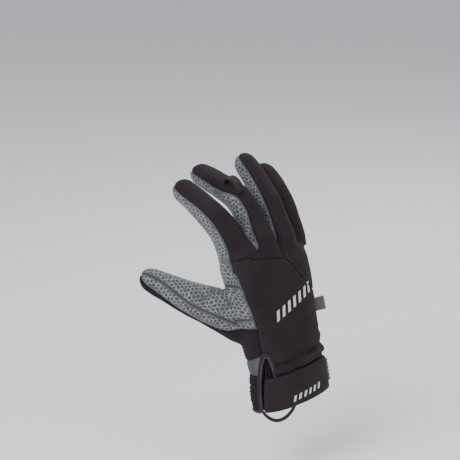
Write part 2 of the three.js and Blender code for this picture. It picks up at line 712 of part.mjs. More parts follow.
// Piping: up the left side of the slit, over its top, down the right side and
// back round the cuff's bottom edge. height is a share of SLIT_HEIGHT.
const PIPING = [
  { height: 0.04, angle: -85 },
  { height: 0.3, angle: -83 },
  { height: 0.6, angle: -80 },
  { height: 0.82, angle: -73 },
  { height: 0.93, angle: -67 },
  { height: 0.985, angle: -63 },
  { height: 1.0, angle: -59.5 },
  { height: 0.985, angle: -56 },
  { height: 0.93, angle: -52.5 },
  { height: 0.84, angle: -50.5 },
  { height: 0.65, angle: -49 },
  { height: 0.3, angle: -50 },
  { height: 0.12, angle: -50 },
];
const BOTTOM_STEPS = 20;
const PIPING_INSET = WALL / 2;
const pipingLine = [
  ...PIPING.map(({ height, angle }) => onHand(height * SLIT_HEIGHT, angle, PIPING_INSET)),
  ...Array.from({ length: BOTTOM_STEPS }, (_, i) => {
    const share = (i + 1) / (BOTTOM_STEPS + 1);
    const angle = lerp(-46, 271, share);
    const lift = 2.4 * (1 - smoothstep(0.36, 0.55, share)) + 0.5;
    return onHand(lift, angle, PIPING_INSET);
  }),
];
const PIPING_RADIUS = PIPING_DIAMETER / 2;
const pipingChannel = tube(pipingLine, PIPING_RADIUS + 1.5 * CLEARANCE);

// Cut the wall into its panels, each a gap away from the ones before it
const cuffOutline = [[-FAR, -FAR], [FAR, -FAR], [FAR, CUFF_HEIGHT], [-FAR, CUFF_HEIGHT]];
const cuffTop = (grow) => prism(cuffOutline, "back", -FAR, FAR, grow);
const FINEST = 0.14;
function biggest(solid) {
  const parts = solid.simplify(FINEST).decompose();
  return parts.sort((a, b) => b.volume() - a.volume())[0];
}
const panels = {};
let rest = wall.subtract(pipingChannel);
function take(name, region) {
  panels[name] = biggest(rest.intersect(region(0)));
  rest = rest.subtract(region(SEAM_GAP));
}
take("cuff", cuffTop);
take("back_hand", backHandRegion);
take("back_fingers", backFingersRegion);
take("back_ulnar", backUlnarRegion);
take("heel_patch", heelRegion);
take("thumb_back", thumbBackRegion);
take("thumb_band", thumbBandRegion);
take("thumb_pad", thumbPadRegion);
take("side_index_middle", (grow) => sideRegion("index", "middle", footIndexMiddle, grow));
take("side_middle_ring", (grow) => sideRegion("middle", "ring", footMiddleRing, grow));
take("side_ring_little", (grow) => sideRegion("ring", "little", footRingLittle, grow));
panels.palm = biggest(rest);

// The round edging of the slit and of the cuff's bottom
const cuffPiping = tube(pipingLine, PIPING_RADIUS);

// A sheet over part of the hand form. It has a ring at each station; angleAt gives the
// angle at a station and height, under and over its faces' heights above the form.
function sheet({ heights, stations, angleAt, under, over }) {
  const rings = stations.map((station, i) => {
    const place = (height, lift) => {
      const angle = angleAt(station, height, i);
      return onHand(height, angle, -lift(angle, i)).point;
    };
    const outerLine = heights.map((height) => place(height, over));
    const innerLine = heights.map((height) => place(height, under));
    return [...outerLine, ...innerLine.reverse()];
  });
  return solidOf(skin(rings));
}

// The facets' own angles between two others, so that sheets follow the faceted form
const FACET = 360 / HAND_SIDES.outside;
function facetsBetween(from, to) {
  const turns = { length: 2 * HAND_SIDES.outside };
  const all = Array.from(turns, (_, i) => (i - HAND_SIDES.outside) * FACET);
  return [from, ...all.filter((angle) => angle > from + 1 && angle < to - 1), to];
}

// Wrist tab: crosses the slit and closes over the field of loops
const TAB_STAND = 0.65;
const TAB_SKEW = 8;
const TAB_START = -77;
const TAB_END = 41;
const FIELD_START = 8;
const FIELD_END = 76;
const tabTop = TAB_BOTTOM + TAB_HEIGHT;
const overField = CLEARANCE * 2.6 + FIELD_WALL;
const tabUnder = (angle) =>
  lerp(TAB_STAND, overField, smoothstep(FIELD_START - 22, FIELD_START - 8, angle));
const wristTab = sheet({
  heights: [TAB_BOTTOM, ...[1, 2, 3, 4].map((n) => (n * CUFF_HEIGHT) / 6), tabTop],
  stations: facetsBetween(TAB_START + TAB_SKEW, TAB_END),
  angleAt: (station, height, i) =>
    i === 0 ? TAB_START + (TAB_SKEW * (height - TAB_BOTTOM)) / TAB_HEIGHT : station,
  under: tabUnder,
  over: (angle) => tabUnder(angle) + TAB_WALL,
});
const fieldBottom = TAB_BOTTOM + (TAB_HEIGHT - FIELD_HEIGHT) / 2;
const loopField = sheet({
  heights: [fieldBottom, CUFF_HEIGHT / 3, CUFF_HEIGHT / 2, fieldBottom + FIELD_HEIGHT],
  stations: facetsBetween(FIELD_START, FIELD_END),
  angleAt: (station) => station,
  under: () => CLEARANCE,
  over: () => CLEARANCE + FIELD_WALL,
});

// Pleated gusset behind the slit, wider toward the cuff's edge
const GUSSET = [
  { height: 0.05, from: -92 },
  { height: 0.35, from: -89 },
  { height: 0.65, from: -85 },
  { height: 0.88, from: -78 },
];
const GUSSET_END = -42;
const GUSSET_STAND = WALL + 3 * CLEARANCE;
const gussetFold = (i) => -GUSSET_STAND - (i % 2 === 1 ? GUSSET_PLEAT_DEPTH : 0);
const cuffGusset = sheet({
  heights: GUSSET.map((row) => row.height * SLIT_HEIGHT),
  stations: Array.from({ length: 2 * GUSSET_PLEATS + 1 }, (_, i) => i / (2 * GUSSET_PLEATS)),
  angleAt: (station, height) =>
    lerp(rowAt(GUSSET, "height", height / SLIT_HEIGHT).from, GUSSET_END, station),
  under: (angle, i) => gussetFold(i) - GUSSET_WALL,
  over: (angle, i) => gussetFold(i),
});

// A tape along a line of spots: thick along each spot's outward direction
function tape(spots, wide, thick) {
  const rings = spots.map((spot, i) => {
    const before = spots[Math.max(i - 1, 0)];
    const after = spots[Math.min(i + 1, spots.length - 1)];
    const along = after.point.clone().sub(before.point).normalize();
    const side = along.clone().cross(spot.out).normalize();
    const up = side.clone().cross(along).normalize();
    const corner = (s, u) =>
      spot.point.clone().addScaledVector(side, (s * wide) / 2).addScaledVector(up, (u * thick) / 2);
    return [corner(-1, -1), corner(1, -1), corner(1, 1), corner(-1, 1)];
  });
  return solidOf(skin(rings));
}

// Pull loop under the tab's start
const PULL = { from: -79, to: -22, steps: 12 };
const pullLine = Array.from({ length: PULL.steps + 1 }, (_, i) => {
  const t = i / PULL.steps;
  const spot = onHand(0, lerp(PULL.from, PULL.to, t), -(TAB_STAND + PULL_WALL / 2));
  spot.point.z = TAB_BOTTOM - CLEARANCE - PULL_WIDTH / 2 - PULL_DROP * Math.sin(Math.PI * t) ** 0.75;
  return spot;
});

// Hanging loop on the back of the middle finger, past its bend
const HANG = { place: 0.57, angle: -10, steps: 9 };
const hangSection = fingerSection(FINGERS.middle, HANG.place);
const hangSpot = onFinger(FINGERS.middle, HANG.place, HANG.angle);
const hangFoot = (sign) => {
  const place = HANG.place + (sign * HANG_LOOP_LENGTH) / (2 * hangSection.length);
  const spot = onFinger(FINGERS.middle, place, HANG.angle);
  return spot.point.addScaledVector(spot.out, CLEARANCE);
};
const hangFeet = [hangFoot(-1), hangFoot(1)];
const hangLine = Array.from({ length: HANG.steps + 1 }, (_, i) => {
  const t = (Math.PI * i) / HANG.steps;
  const point = hangFeet[0].clone().lerp(hangFeet[1], (1 - Math.cos(t)) / 2);
  point.addScaledVector(hangSpot.out, (HANG_LOOP_HEIGHT - HANG_LOOP_WALL / 2) * Math.sin(t) ** 0.8);
  const out = point.clone().sub(hangSpot.point);
  out.addScaledVector(hangSection.across, -out.dot(hangSection.across)).normalize();
  return { point, out };
});
const bearing = hangSpot.point.clone().addScaledVector(hangSpot.out, HANG_LOOP_HEIGHT - HANG_LOOP_WALL);

// Folded label, standing out from the side of the little finger
const LABEL = { place: 0.49, angle: 68 };
const labelHeights = [-0.5, 0, 0.5].map((end) => LABEL.place * HAND_LENGTH + end * LABEL_HEIGHT);
const labelSpots = labelHeights.map((height) => onHand(height, LABEL.angle));
const labelOut = labelSpots[1].out;
const labelStand = Math.max(...labelSpots.map((spot) => spot.point.dot(labelOut)));
const labelCentre = labelSpots[1].point.clone().setZ(LABEL.place * HAND_LENGTH);
const labelFoot = labelStand - labelCentre.dot(labelOut) + 1.7 * CLEARANCE;
labelCentre.addScaledVector(labelOut, labelFoot + LABEL_LENGTH / 2);
const labelGeometry = new THREE.BoxGeometry(LABEL_LENGTH, LABEL_WALL, LABEL_HEIGHT)
  .rotateZ(Math.atan2(labelOut.y, labelOut.x))
  .translate(labelCentre.x, labelCentre.y, labelCentre.z);

// Assembly, with the bearing of the hanging loop as the origin
const glove = new THREE.Group();
glove.name = "climbing_glove";
const forms = new THREE.Group();
forms.position.copy(bearing).negate();
glove.add(forms);

function addPiece(name, geometry, material) {
  const mesh = new THREE.Mesh(geometry, new THREE.MeshStandardMaterial(MATERIALS[material]));
  mesh.name = name;
  geometry.computeVertexNormals();
  forms.add(mesh);
}

addPiece("back_hand", geometryOf(panels.back_hand), "backCloth");
addPiece("back_fingers", geometryOf(panels.back_fingers), "backCloth");
addPiece("back_ulnar", geometryOf(panels.back_ulnar), "backCloth");
addPiece("palm", geometryOf(panels.palm), "gripCloth");
addPiece("side_index_middle", geometryOf(panels.side_index_middle), "gripCloth");
addPiece("side_middle_ring", geometryOf(panels.side_middle_ring), "gripCloth");
addPiece("side_ring_little", geometryOf(panels.side_ring_little), "gripCloth");
addPiece("thumb_pad", geometryOf(panels.thumb_pad), "gripCloth");
addPiece("thumb_band", geometryOf(panels.thumb_band), "gripCloth");
addPiece("thumb_back", geometryOf(panels.thumb_back), "softCloth");
addPiece("heel_patch", geometryOf(panels.heel_patch), "heelLeather");
addPiece("cuff", geometryOf(panels.cuff), "cuffCloth");
addPiece("cuff_piping", geometryOf(cuffPiping), "piping");
addPiece("cuff_gusset", geometryOf(cuffGusset), "softCloth");
addPiece("wrist_tab", geometryOf(wristTab), "tabCloth");
addPiece("loop_field", geometryOf(loopField), "loopField");
addPiece("pull_loop", geometryOf(tape(pullLine, PULL_WIDTH, PULL_WALL)), "webbing");
addPiece("hang_loop", geometryOf(tape(hangLine, HANG_LOOP_WIDTH, HANG_LOOP_WALL)), "webbing");
addPiece("side_label", labelGeometry, "label");

export default glove;
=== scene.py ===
import math

import bpy
import numpy as np
from mathutils import Matrix, Vector, kdtree, noise


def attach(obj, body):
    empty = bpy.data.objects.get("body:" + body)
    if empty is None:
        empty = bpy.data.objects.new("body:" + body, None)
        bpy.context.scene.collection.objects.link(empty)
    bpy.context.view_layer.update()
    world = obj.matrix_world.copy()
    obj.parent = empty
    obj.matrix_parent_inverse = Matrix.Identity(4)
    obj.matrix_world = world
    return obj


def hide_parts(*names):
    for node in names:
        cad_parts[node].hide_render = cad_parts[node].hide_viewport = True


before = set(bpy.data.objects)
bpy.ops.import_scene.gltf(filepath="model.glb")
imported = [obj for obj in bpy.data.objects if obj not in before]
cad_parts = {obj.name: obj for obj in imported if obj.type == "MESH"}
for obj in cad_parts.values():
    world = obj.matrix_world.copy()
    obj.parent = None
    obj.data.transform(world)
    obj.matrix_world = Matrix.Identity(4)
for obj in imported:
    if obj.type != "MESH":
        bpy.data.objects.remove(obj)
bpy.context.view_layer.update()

# Climbing glove for the right hand. The form is worked out in millimetres from the
# cuff's edge, as in the CAD, and set in metres on the point that it hangs from.
MM = 0.001
BEARING = np.array([-5.563, 9.402, 237.674])

# Driving dimensions, as in the CAD
HAND_LENGTH = 172.0
HAND_WIDTH = 100.0
HAND_DEPTH = 48.0
FINGER_LENGTH = 127.0
FINGER_WIDTH = 28.0
FINGER_DEPTH = 30.0
THUMB_LENGTH = 136.0
THUMB_WIDTH = 50.0
THUMB_DEPTH = 36.0
WALL = 1.8
CUFF_HEIGHT = 38.0
SLIT_HEIGHT = 58.0
TAB_BOTTOM = 1.5
TAB_HEIGHT = 35.0
TAB_STAND = 0.65
TAB_WALL = 2.2
TAB_LENGTH = 92.0
TAB_CORNER = 3.2
FIELD_LENGTH = 52.0
FIELD_WIDTH = 26.0
FINGER_SQUARE = 2.4
THUMB_SQUARE = 2.3
SKIN_CELL = 1.0
# Millimetres for each degree round the cuff, on its edge and on the trims' cloth
CUFF_ARC = 0.8
TRIM_ARC = 0.75
# A seam distance that is past every seam's painted shade
PAST_SEAMS = 5.0
STITCH_INSET = 2.2
STITCH_PITCH = 2.5

# Sections of the hand: rise as a share of HAND_LENGTH; across and half of HAND_WIDTH;
# deep, back and palm of HAND_DEPTH; tilt is a slope; square is an exponent
HAND = np.array([
    [0.0, 0.06, 0.06, 0.44, 0.56, 0.56, 0, 2.4],
    [0.105, 0.07, 0.06, 0.44, 0.55, 0.56, 0, 2.4],
    [0.21, 0.09, 0.06, 0.43, 0.54, 0.54, 0, 2.4],
    [0.26, 0.1, 0.08, 0.43, 0.54, 0.56, 0, 2.4],
    [0.34, 0.11, 0.1, 0.43, 0.52, 0.56, 0, 2.5],
    [0.515, 0.12, 0.125, 0.46, 0.5, 0.56, 0.03, 2.7],
    [0.69, 0.12, 0.146, 0.49, 0.5, 0.54, 0.08, 2.9],
    [0.83, 0.12, 0.167, 0.5, 0.48, 0.56, 0.14, 3.0],
    [0.9, 0.12, 0.188, 0.49, 0.44, 0.48, 0.17, 3.0],
    [0.945, 0.12, 0.19, 0.46, 0.33, 0.34, 0.2, 2.9],
    [0.97, 0.12, 0.19, 0.4, 0.2, 0.2, 0.2, 2.7],
    [1.0, 0.12, 0.19, 0.16, 0.05, 0.05, 0.2, 2.4],
])
# Places as shares of the hand; bones as shares of FINGER_LENGTH; lean and bend in degrees
FINGERS = {
    "index": dict(across=-0.15, deep=0.062, rise=0.86, lean=-14, web=0.9, bones=(0.425, 0.26, 0.213),
                  bend=(17, 40, 48), width=1.1, tip_width=0.785, depth=1.2, tip_depth=0.65),
    "middle": dict(across=0.11, deep=0.01, rise=0.884, lean=-8, web=0.3, bones=(0.504, 0.283, 0.213),
                   bend=(13, 62, 66), width=1.0, tip_width=0.785, depth=1.1, tip_depth=0.64),
    "ring": dict(across=0.35, deep=0.01, rise=0.872, lean=-1, web=0.2, bones=(0.417, 0.244, 0.19),
                 bend=(12, 26, 38), width=0.93, tip_width=0.76, depth=1.05, tip_depth=0.633),
    "little": dict(across=0.58, deep=0.21, rise=0.837, lean=-3, web=0.1, bones=(0.362, 0.213, 0.173),
                   bend=(3, 22, 42), width=0.85, tip_width=0.71, depth=0.88, tip_depth=0.6),
}
BEND_SPREAD = 0.126
TIP_ROUND = 0.1
ROOT_TUCK = 0.15
THUMB_ROOT = np.array([-0.06 * HAND_WIDTH, 0.29 * HAND_DEPTH, 0.465 * HAND_LENGTH])
# Sections of the thumb, as shares: across, deep and rise of THUMB_LENGTH, half of
# THUMB_WIDTH, thick of THUMB_DEPTH
THUMB = np.array([
    [0, 0, 0, 0.48, 0.5],
    [-0.118, 0.044, 0.103, 0.5, 0.5],
    [-0.272, 0.125, 0.235, 0.42, 0.444],
    [-0.419, 0.235, 0.36, 0.34, 0.361],
    [-0.559, 0.353, 0.5, 0.26, 0.306],
    [-0.647, 0.449, 0.603, 0.2, 0.25],
])
THUMB_LOWER_SIDE = np.array([-0.25, 0.55, -0.8])

# Seam lines, as [share of the length, angle in degrees]
PALM_SEAMS = [[0, 138], [0.4, 122], [1, 116]], [[0, 132], [0.4, 120], [1, 116]]
FINGER_SEAMS = {
    "index": dict(radial=[[0, -84], [0.2, -72], [0.3, -61], [0.5, -51], [0.67, -50], [0.8, -58], [1, -60]],
                  ulnar=[[0, 42], [0.19, 44], [0.4, 62], [1, 66]], palm=PALM_SEAMS[0]),
    "middle": dict(radial=[[0, -58], [0.25, -50], [0.4, -35], [0.5, -34],
                           [0.6, -60], [0.72, -68], [1, -56]],
                   ulnar=[[0, 45], [0.4, 62], [1, 66]], palm=PALM_SEAMS[0]),
    "ring": dict(radial=[[0, -58], [0.3, -54], [0.6, -50], [1, -44]],
                 ulnar=[[0, 50], [0.4, 64], [1, 66]], palm=PALM_SEAMS[1]),
    "little": dict(radial=[[0, -48], [0.4, -62], [1, -64]],
                   ulnar=[[0, 92], [0.5, 96], [1, 94]], palm=PALM_SEAMS[1]),
}
HAND_SEAMS = {
    "radial_edge": [[0.893, -66], [0.785, -63], [0.647, -60], [0.513, -60], [0.433, -63], [0.353, -65],
                    [0.28, -66], [0.1, -66]],
    "knuckle": [[0.893, -66], [0.893, -36], [0.886, -16], [0.874, -2], [0.86, 5]],
    "diagonal": [[0.86, 5], [0.774, 14], [0.684, 28], [0.648, 40], [0.59, 68], [0.56, 96]],
}
THUMB_SEAMS = {
    "middle": [[0, 184], [0.5, 181], [0.62, 186], [0.72, 200], [0.85, 220], [1, 230]],
    "lower": [[0, 168], [0.21, 162], [0.3, 142], [0.45, 132], [0.7, 140], [0.85, 160], [1, 170]],
    "hidden": [[0, 0], [0.5, 5], [1, 10]],
}
SIDE_SEAM_DEEP = 0.125
# The back panel's edge on the thumb's side: shares of HAND_DEPTH and HAND_LENGTH
FLANK_SEAM = [[0.05, 0.938], [0.03, 0.9], [-0.006, 0.878], [-0.07, 0.828], [-0.119, 0.752], [-0.152, 0.65]]
BAND_TOP = 0.575
BAND_BOTTOM = 0.513
HEEL_TOP = 0.35
HEEL_DROP = 0.07
# Edging of the slit, as [share of SLIT_HEIGHT, angle in degrees]
PIPING = [[0.04, -85], [0.3, -83], [0.6, -80], [0.82, -73], [0.93, -67], [0.985, -63], [1.0, -59.5],
          [0.985, -56], [0.93, -52.5], [0.84, -50.5], [0.65, -49], [0.3, -50], [0.12, -50]]


# Places on the form
def smoothstep(low, high, x):
    t = np.clip((np.asarray(x, float) - low) / (high - low), 0, 1)
    return t * t * (3 - 2 * t)


def ramp(pairs, x):
    table = np.array(pairs, float)
    return np.interp(x, table[:, 0], table[:, 1])


def power(x, p):
    return np.sign(x) * np.abs(x) ** p


def unit(rows):
    return rows / np.linalg.norm(rows, axis=-1, keepdims=True)


def stacked(*parts):
    """Arrays of one shape, side by side in a last axis."""
    return np.stack(np.broadcast_arrays(*parts), -1)


def run_along(line):
    """Distance along a line, at each of its points."""
    return np.concatenate([[0], np.cumsum(np.linalg.norm(np.diff(line, axis=0), axis=1))])


def rows_of_four(*corners):
    return np.stack(corners, -1).reshape(-1, 4)


def hand_at(height):
    share = np.asarray(height, float) / HAND_LENGTH
    row = [np.interp(share, HAND[:, 0], HAND[:, k]) for k in range(1, 8)]
    return dict(cx=row[0] * HAND_WIDTH, cy=row[1] * HAND_DEPTH, half=row[2] * HAND_WIDTH,
                back=row[3] * HAND_DEPTH, palm=row[4] * HAND_DEPTH, tilt=row[5], square=row[6])


def hand_section(height, degrees):
    """A section of the hand, with shares across and deep at an angle, and its depth there."""
    s = hand_at(height)
    a = np.radians(degrees)
    u = power(np.sin(a), 2 / s["square"])
    v = power(np.cos(a), 2 / s["square"])
    return s, u, v, np.where(v > 0, s["back"], s["palm"])


def on_hand(height, degrees, inset=0.0):
    """Point on the hand's skin, or under it by the inset."""
    s, u, v, deep = hand_section(height, degrees)
    x = s["cx"] + u * (s["half"] - inset)
    y = s["cy"] - v * (deep - inset)
    z = np.asarray(height, float) - s["tilt"] * (x - s["cx"])
    return stacked(x, y, z)


def hand_out(height, degrees):
    """Direction straight out of the hand's skin."""
    s, u, v, deep = hand_section(height, degrees)
    over, under = power(u, s["square"] - 1) / s["half"], -power(v, s["square"] - 1) / deep
    return unit(stacked(over, under, 0 * u))


def tip_share(left, round_length):
    """How far a digit's section has closed toward its tip."""
    t = np.clip(left / round_length, 0, 1)
    return np.sqrt(np.clip(1 - (1 - t) ** 2.2, 0, 1))


def finger_at(finger, place):
    """Centre, axis, across and up of a finger's section, with its half width and depth."""
    place = np.atleast_1d(np.asarray(place, float))
    first, second, third = (b * FINGER_LENGTH for b in finger["bones"])
    length = first + second + third
    spread = BEND_SPREAD * FINGER_LENGTH
    fine = np.linspace(0, length, 600)
    bend = finger["bend"]
    outer, tight = first + second, spread * 0.8
    curl = np.radians(bend[0] + (bend[1] - bend[0]) * smoothstep(first - spread, first + spread, fine)
                      + (bend[2] - bend[1]) * smoothstep(outer - tight, outer + tight, fine))
    step = fine[1] - fine[0]
    mid = (curl[1:] + curl[:-1]) / 2
    along = np.concatenate([[0], np.cumsum(np.cos(mid) * step)])
    away = np.concatenate([[0], np.cumsum(np.sin(mid) * step)])
    s = place * length
    along, away, curl = (np.interp(s, fine, q) for q in (along, away, curl))
    lean = math.radians(finger["lean"])
    centre = np.stack([finger["across"] * HAND_WIDTH + along * math.sin(lean),
                       finger["deep"] * HAND_DEPTH + away,
                       finger["rise"] * HAND_LENGTH + along * math.cos(lean)], -1)
    axis = np.stack([np.cos(curl) * math.sin(lean), np.sin(curl), np.cos(curl) * math.cos(lean)], -1)
    across = np.tile([math.cos(lean), 0, -math.sin(lean)], (len(place), 1))
    up = np.cross(across, axis)
    taper = place ** 1.3
    wide = 0.5 * FINGER_WIDTH * (finger["width"] + (finger["tip_width"] - finger["width"]) * taper)
    deep = 0.5 * FINGER_DEPTH * (finger["depth"] + (finger["tip_depth"] - finger["depth"]) * taper)
    tuck = 1 - ROOT_TUCK * (1 - smoothstep(0, 0.14, place))
    web = 1 + finger["web"] * (1 - smoothstep(0.08, 0.36, place))
    return dict(length=length, centre=centre, axis=axis, across=across, up=up, wide=wide, deep=deep,
                web=web, tuck=tuck, left=(1 - place) * length)


def catmull(points, u):
    """Centripetal Catmull-Rom curve through the points, as in the CAD."""
    n = len(points) - 1
    out = np.zeros((len(u), points.shape[1]))
    for k, value in enumerate(u):
        p = value * n
        i = min(int(math.floor(p)), n - 1)
        w = p - i
        p1, p2 = points[i], points[i + 1]
        p0 = points[i - 1] if i > 0 else 2 * p1 - p2
        p3 = points[i + 2] if i + 2 <= n else 2 * p2 - p1
        d0 = max(((p0 - p1) ** 2).sum() ** 0.25, 1e-4)
        d1 = max(((p1 - p2) ** 2).sum() ** 0.25, 1e-4)
        d2 = max(((p2 - p3) ** 2).sum() ** 0.25, 1e-4)
        t1 = ((p1 - p0) / d0 - (p2 - p0) / (d0 + d1) + (p2 - p1) / d1) * d1
        t2 = ((p2 - p1) / d1 - (p3 - p1) / (d1 + d2) + (p3 - p2) / d2) * d1
        c2 = -3 * p1 + 3 * p2 - 2 * t1 - t2
        c3 = 2 * p1 - 2 * p2 + t1 + t2
        out[k] = p1 + t1 * w + c2 * w * w + c3 * w ** 3
    return out


THUMB_SPOTS = THUMB_ROOT + THUMB[:, :3] * THUMB_LENGTH
fine_u = np.linspace(0, 1, 801)
fine_thumb = catmull(THUMB_SPOTS, fine_u)
thumb_run = run_along(fine_thumb)


def thumb_at(place):
    """The same as finger_at, for the thumb."""
    place = np.atleast_1d(np.asarray(place, float))
    u = np.interp(place * thumb_run[-1], thumb_run, fine_u)
    centre = np.stack([np.interp(u, fine_u, fine_thumb[:, k]) for k in range(3)], -1)
    slope = np.gradient(fine_thumb, axis=0)
    axis = unit(np.stack([np.interp(u, fine_u, slope[:, k]) for k in range(3)], -1))
    across = unit(THUMB_LOWER_SIDE - axis * (axis @ THUMB_LOWER_SIDE)[:, None])
    rows = np.linspace(0, 1, len(THUMB))
    wide = np.interp(u, rows, THUMB[:, 3]) * THUMB_WIDTH
    deep = np.interp(u, rows, THUMB[:, 4]) * THUMB_DEPTH
    return dict(length=thumb_run[-1], centre=centre, axis=axis, across=across, up=np.cross(across, axis),
                wide=wide, deep=deep, web=1.0 + 0 * place, tuck=1.0 + 0 * place,
                left=(1 - place) * thumb_run[-1])


def digit_rings(section, square, round_length, sides):
    """Rings of points round a digit's sections."""
    a = np.linspace(0, 2 * np.pi, sides, endpoint=False)
    u, v = power(np.sin(a), 2 / square), power(np.cos(a), 2 / square)
    share = tip_share(section["left"], round_length)
    half = np.maximum(section["wide"] * share, 0.02)
    deep = np.maximum(section["deep"] * section["tuck"] * share, 0.02)
    reach = deep[:, None] * np.where(v < 0, section["web"][:, None], 1.0) * v
    return (section["centre"][:, None] + section["across"][:, None] * (half[:, None] * u)[..., None]
            + section["up"][:, None] * reach[..., None])


def loft(rings):
    """Vertices and faces of a closed skin over rings of points."""
    count, sides = rings.shape[:2]
    verts = np.concatenate([rings.reshape(-1, 3), rings[0].mean(0)[None], rings[-1].mean(0)[None]])
    j, i = np.meshgrid(np.arange(count - 1), np.arange(sides), indexing="ij")
    k = (i + 1) % sides
    quads = rows_of_four(j * sides + i, j * sides + k, (j + 1) * sides + k, (j + 1) * sides + i)
    i = np.arange(sides)
    k = (i + 1) % sides
    low, high = count * sides, count * sides + 1
    last = (count - 1) * sides
    ends = [(low, b, a) for a, b in zip(i, k)] + [(high, last + a, last + b) for a, b in zip(i, k)]
    return verts, [tuple(map(int, q)) for q in quads] + [tuple(map(int, t)) for t in ends]


# Mesh helpers
def mesh_object(name, verts, faces, material=None, smooth=True):
    mesh = bpy.data.meshes.new(name)
    mesh.from_pydata((np.asarray(verts) * 1.0).tolist(), [], [list(map(int, f)) for f in faces])
    mesh.update()
    if smooth:
        mesh.shade_smooth()
    made = bpy.data.objects.new(name, mesh)
    bpy.context.scene.collection.objects.link(made)
    if material:
        mesh.materials.append(material)
    return made


def to_world(points):
    return (np.asarray(points, float) - BEARING) * MM


def closed_volume(verts, faces):
    total = 0.0
    for f in faces:
        for k in range(1, len(f) - 1):
            a, b, c = verts[f[0]], verts[f[k]], verts[f[k + 1]]
            total += np.dot(a, np.cross(b, c))
    return total / 6


def facing_out(verts, faces):
    return faces if closed_volume(verts, faces) > 0 else [tuple(reversed(f)) for f in faces]


def voxel_skin(size):
    """One skin round the hand, the fingers and the thumb, in millimetres."""
    heights = np.concatenate([np.linspace(-7, 150, 90), np.linspace(151, HAND_LENGTH, 26)])
    angles = np.linspace(0, 360, 160, endpoint=False)
    parts = [loft(on_hand(heights[:, None], angles[None, :]))]
    place = 1 - (1 - np.linspace(0, 1, 90)) ** 1.35
    for finger in FINGERS.values():
        section = finger_at(finger, place)
        parts.append(loft(digit_rings(section, FINGER_SQUARE, TIP_ROUND * FINGER_LENGTH, 64)))
    parts.append(loft(digit_rings(thumb_at(place), THUMB_SQUARE, TIP_ROUND * THUMB_LENGTH, 72)))
    verts, faces = [], []
    for v, f in parts:
        f = facing_out(v, f)
        base = sum(len(x) for x in verts)
        faces += [tuple(k + base for k in q) for q in f]
        verts.append(v)
    work = mesh_object("work_form", np.concatenate(verts) * MM, faces)
    remesh = work.modifiers.new("Skin", "REMESH")
    remesh.mode = "VOXEL"
    remesh.voxel_size = size * MM
    remesh.adaptivity = 0
    made = bpy.data.meshes.new_from_object(work.evaluated_get(bpy.context.evaluated_depsgraph_get()))
    points = np.empty(len(made.vertices) * 3)
    made.vertices.foreach_get("co", points)
    made.calc_loop_triangles()
    tris = np.empty(len(made.loop_triangles) * 3, dtype=np.int64)
    made.loop_triangles.foreach_get("vertices", tris)
    bpy.data.objects.remove(work)
    bpy.data.meshes.remove(made)
    return points.reshape(-1, 3) / MM, tris.reshape(-1, 3)


def sides_of(tris):
    return np.concatenate([tris[:, [0, 1]], tris[:, [1, 2]], tris[:, [2, 0]]])


def relax(points, tris, rounds, amount=0.5):
    """Evens a skin out, each point toward the middle of its neighbours."""
    e = np.unique(np.sort(sides_of(tris), axis=1), axis=0)
    degree = np.bincount(e.ravel(), minlength=len(points))[:, None]
    for _ in range(rounds):
        total = np.zeros_like(points)
        np.add.at(total, e[:, 0], points[e[:, 1]])
        np.add.at(total, e[:, 1], points[e[:, 0]])
        points = points + amount * (total / degree - points)
    return points


def normals_of(points, tris):
    n = np.cross(points[tris[:, 1]] - points[tris[:, 0]], points[tris[:, 2]] - points[tris[:, 0]])
    total = np.zeros_like(points)
    for k in range(3):
        np.add.at(total, tris[:, k], n)
    return total / np.maximum(np.linalg.norm(total, axis=1, keepdims=True), 1e-9)


def cut(points, data, tris, field):
    """Splits a mesh along field = 0 into the part where it is positive and the rest."""
    f = np.where(np.abs(field) < 0.12, np.where(field >= 0, 0.12, -0.12), field)
    inside = f > 0
    count = inside[tris].sum(1)
    parts = {True: [tris[count == 3]], False: [tris[count == 0]]}
    new_points, new_data = [points], [data]
    base = len(points)
    for lone, rows in ((True, tris[count == 1]), (False, tris[count == 2])):
        if not len(rows):
            continue
        first = np.argmax(inside[rows] == lone, axis=1)
        a, b, c = (rows[np.arange(len(rows)), (first + k) % 3] for k in range(3))
        pairs = np.sort(np.concatenate([np.stack([a, b], 1), np.stack([a, c], 1)]), axis=1)
        unique, back = np.unique(pairs, axis=0, return_inverse=True)
        back = back.reshape(-1)
        t = (f[unique[:, 0]] / (f[unique[:, 0]] - f[unique[:, 1]]))[:, None]
        new_points.append(points[unique[:, 0]] * (1 - t) + points[unique[:, 1]] * t)
        new_data.append(data[unique[:, 0]] * (1 - t) + data[unique[:, 1]] * t)
        ab, ac = base + back[: len(rows)], base + back[len(rows):]
        base += len(unique)
        parts[lone].append(np.stack([a, ab, ac], 1))
        parts[not lone] += [np.stack([ab, b, c], 1), np.stack([ab, c, ac], 1)]
    all_points, all_data = np.concatenate(new_points), np.concatenate(new_data)
    # The two groups of new vertices can share an edge, so equal spots are merged
    keys = np.round(all_points * 1e4).astype(np.int64)
    _, first_seen, same = np.unique(keys, axis=0, return_index=True, return_inverse=True)
    same = first_seen[same.reshape(-1)]
    results = []
    for side in (True, False):
        t = same[np.concatenate(parts[side])]
        t = t[(t[:, 0] != t[:, 1]) & (t[:, 1] != t[:, 2]) & (t[:, 2] != t[:, 0])]
        used, back = np.unique(t, return_inverse=True)
        results.append((all_points[used], all_data[used], back.reshape(-1, 3)))
    return results


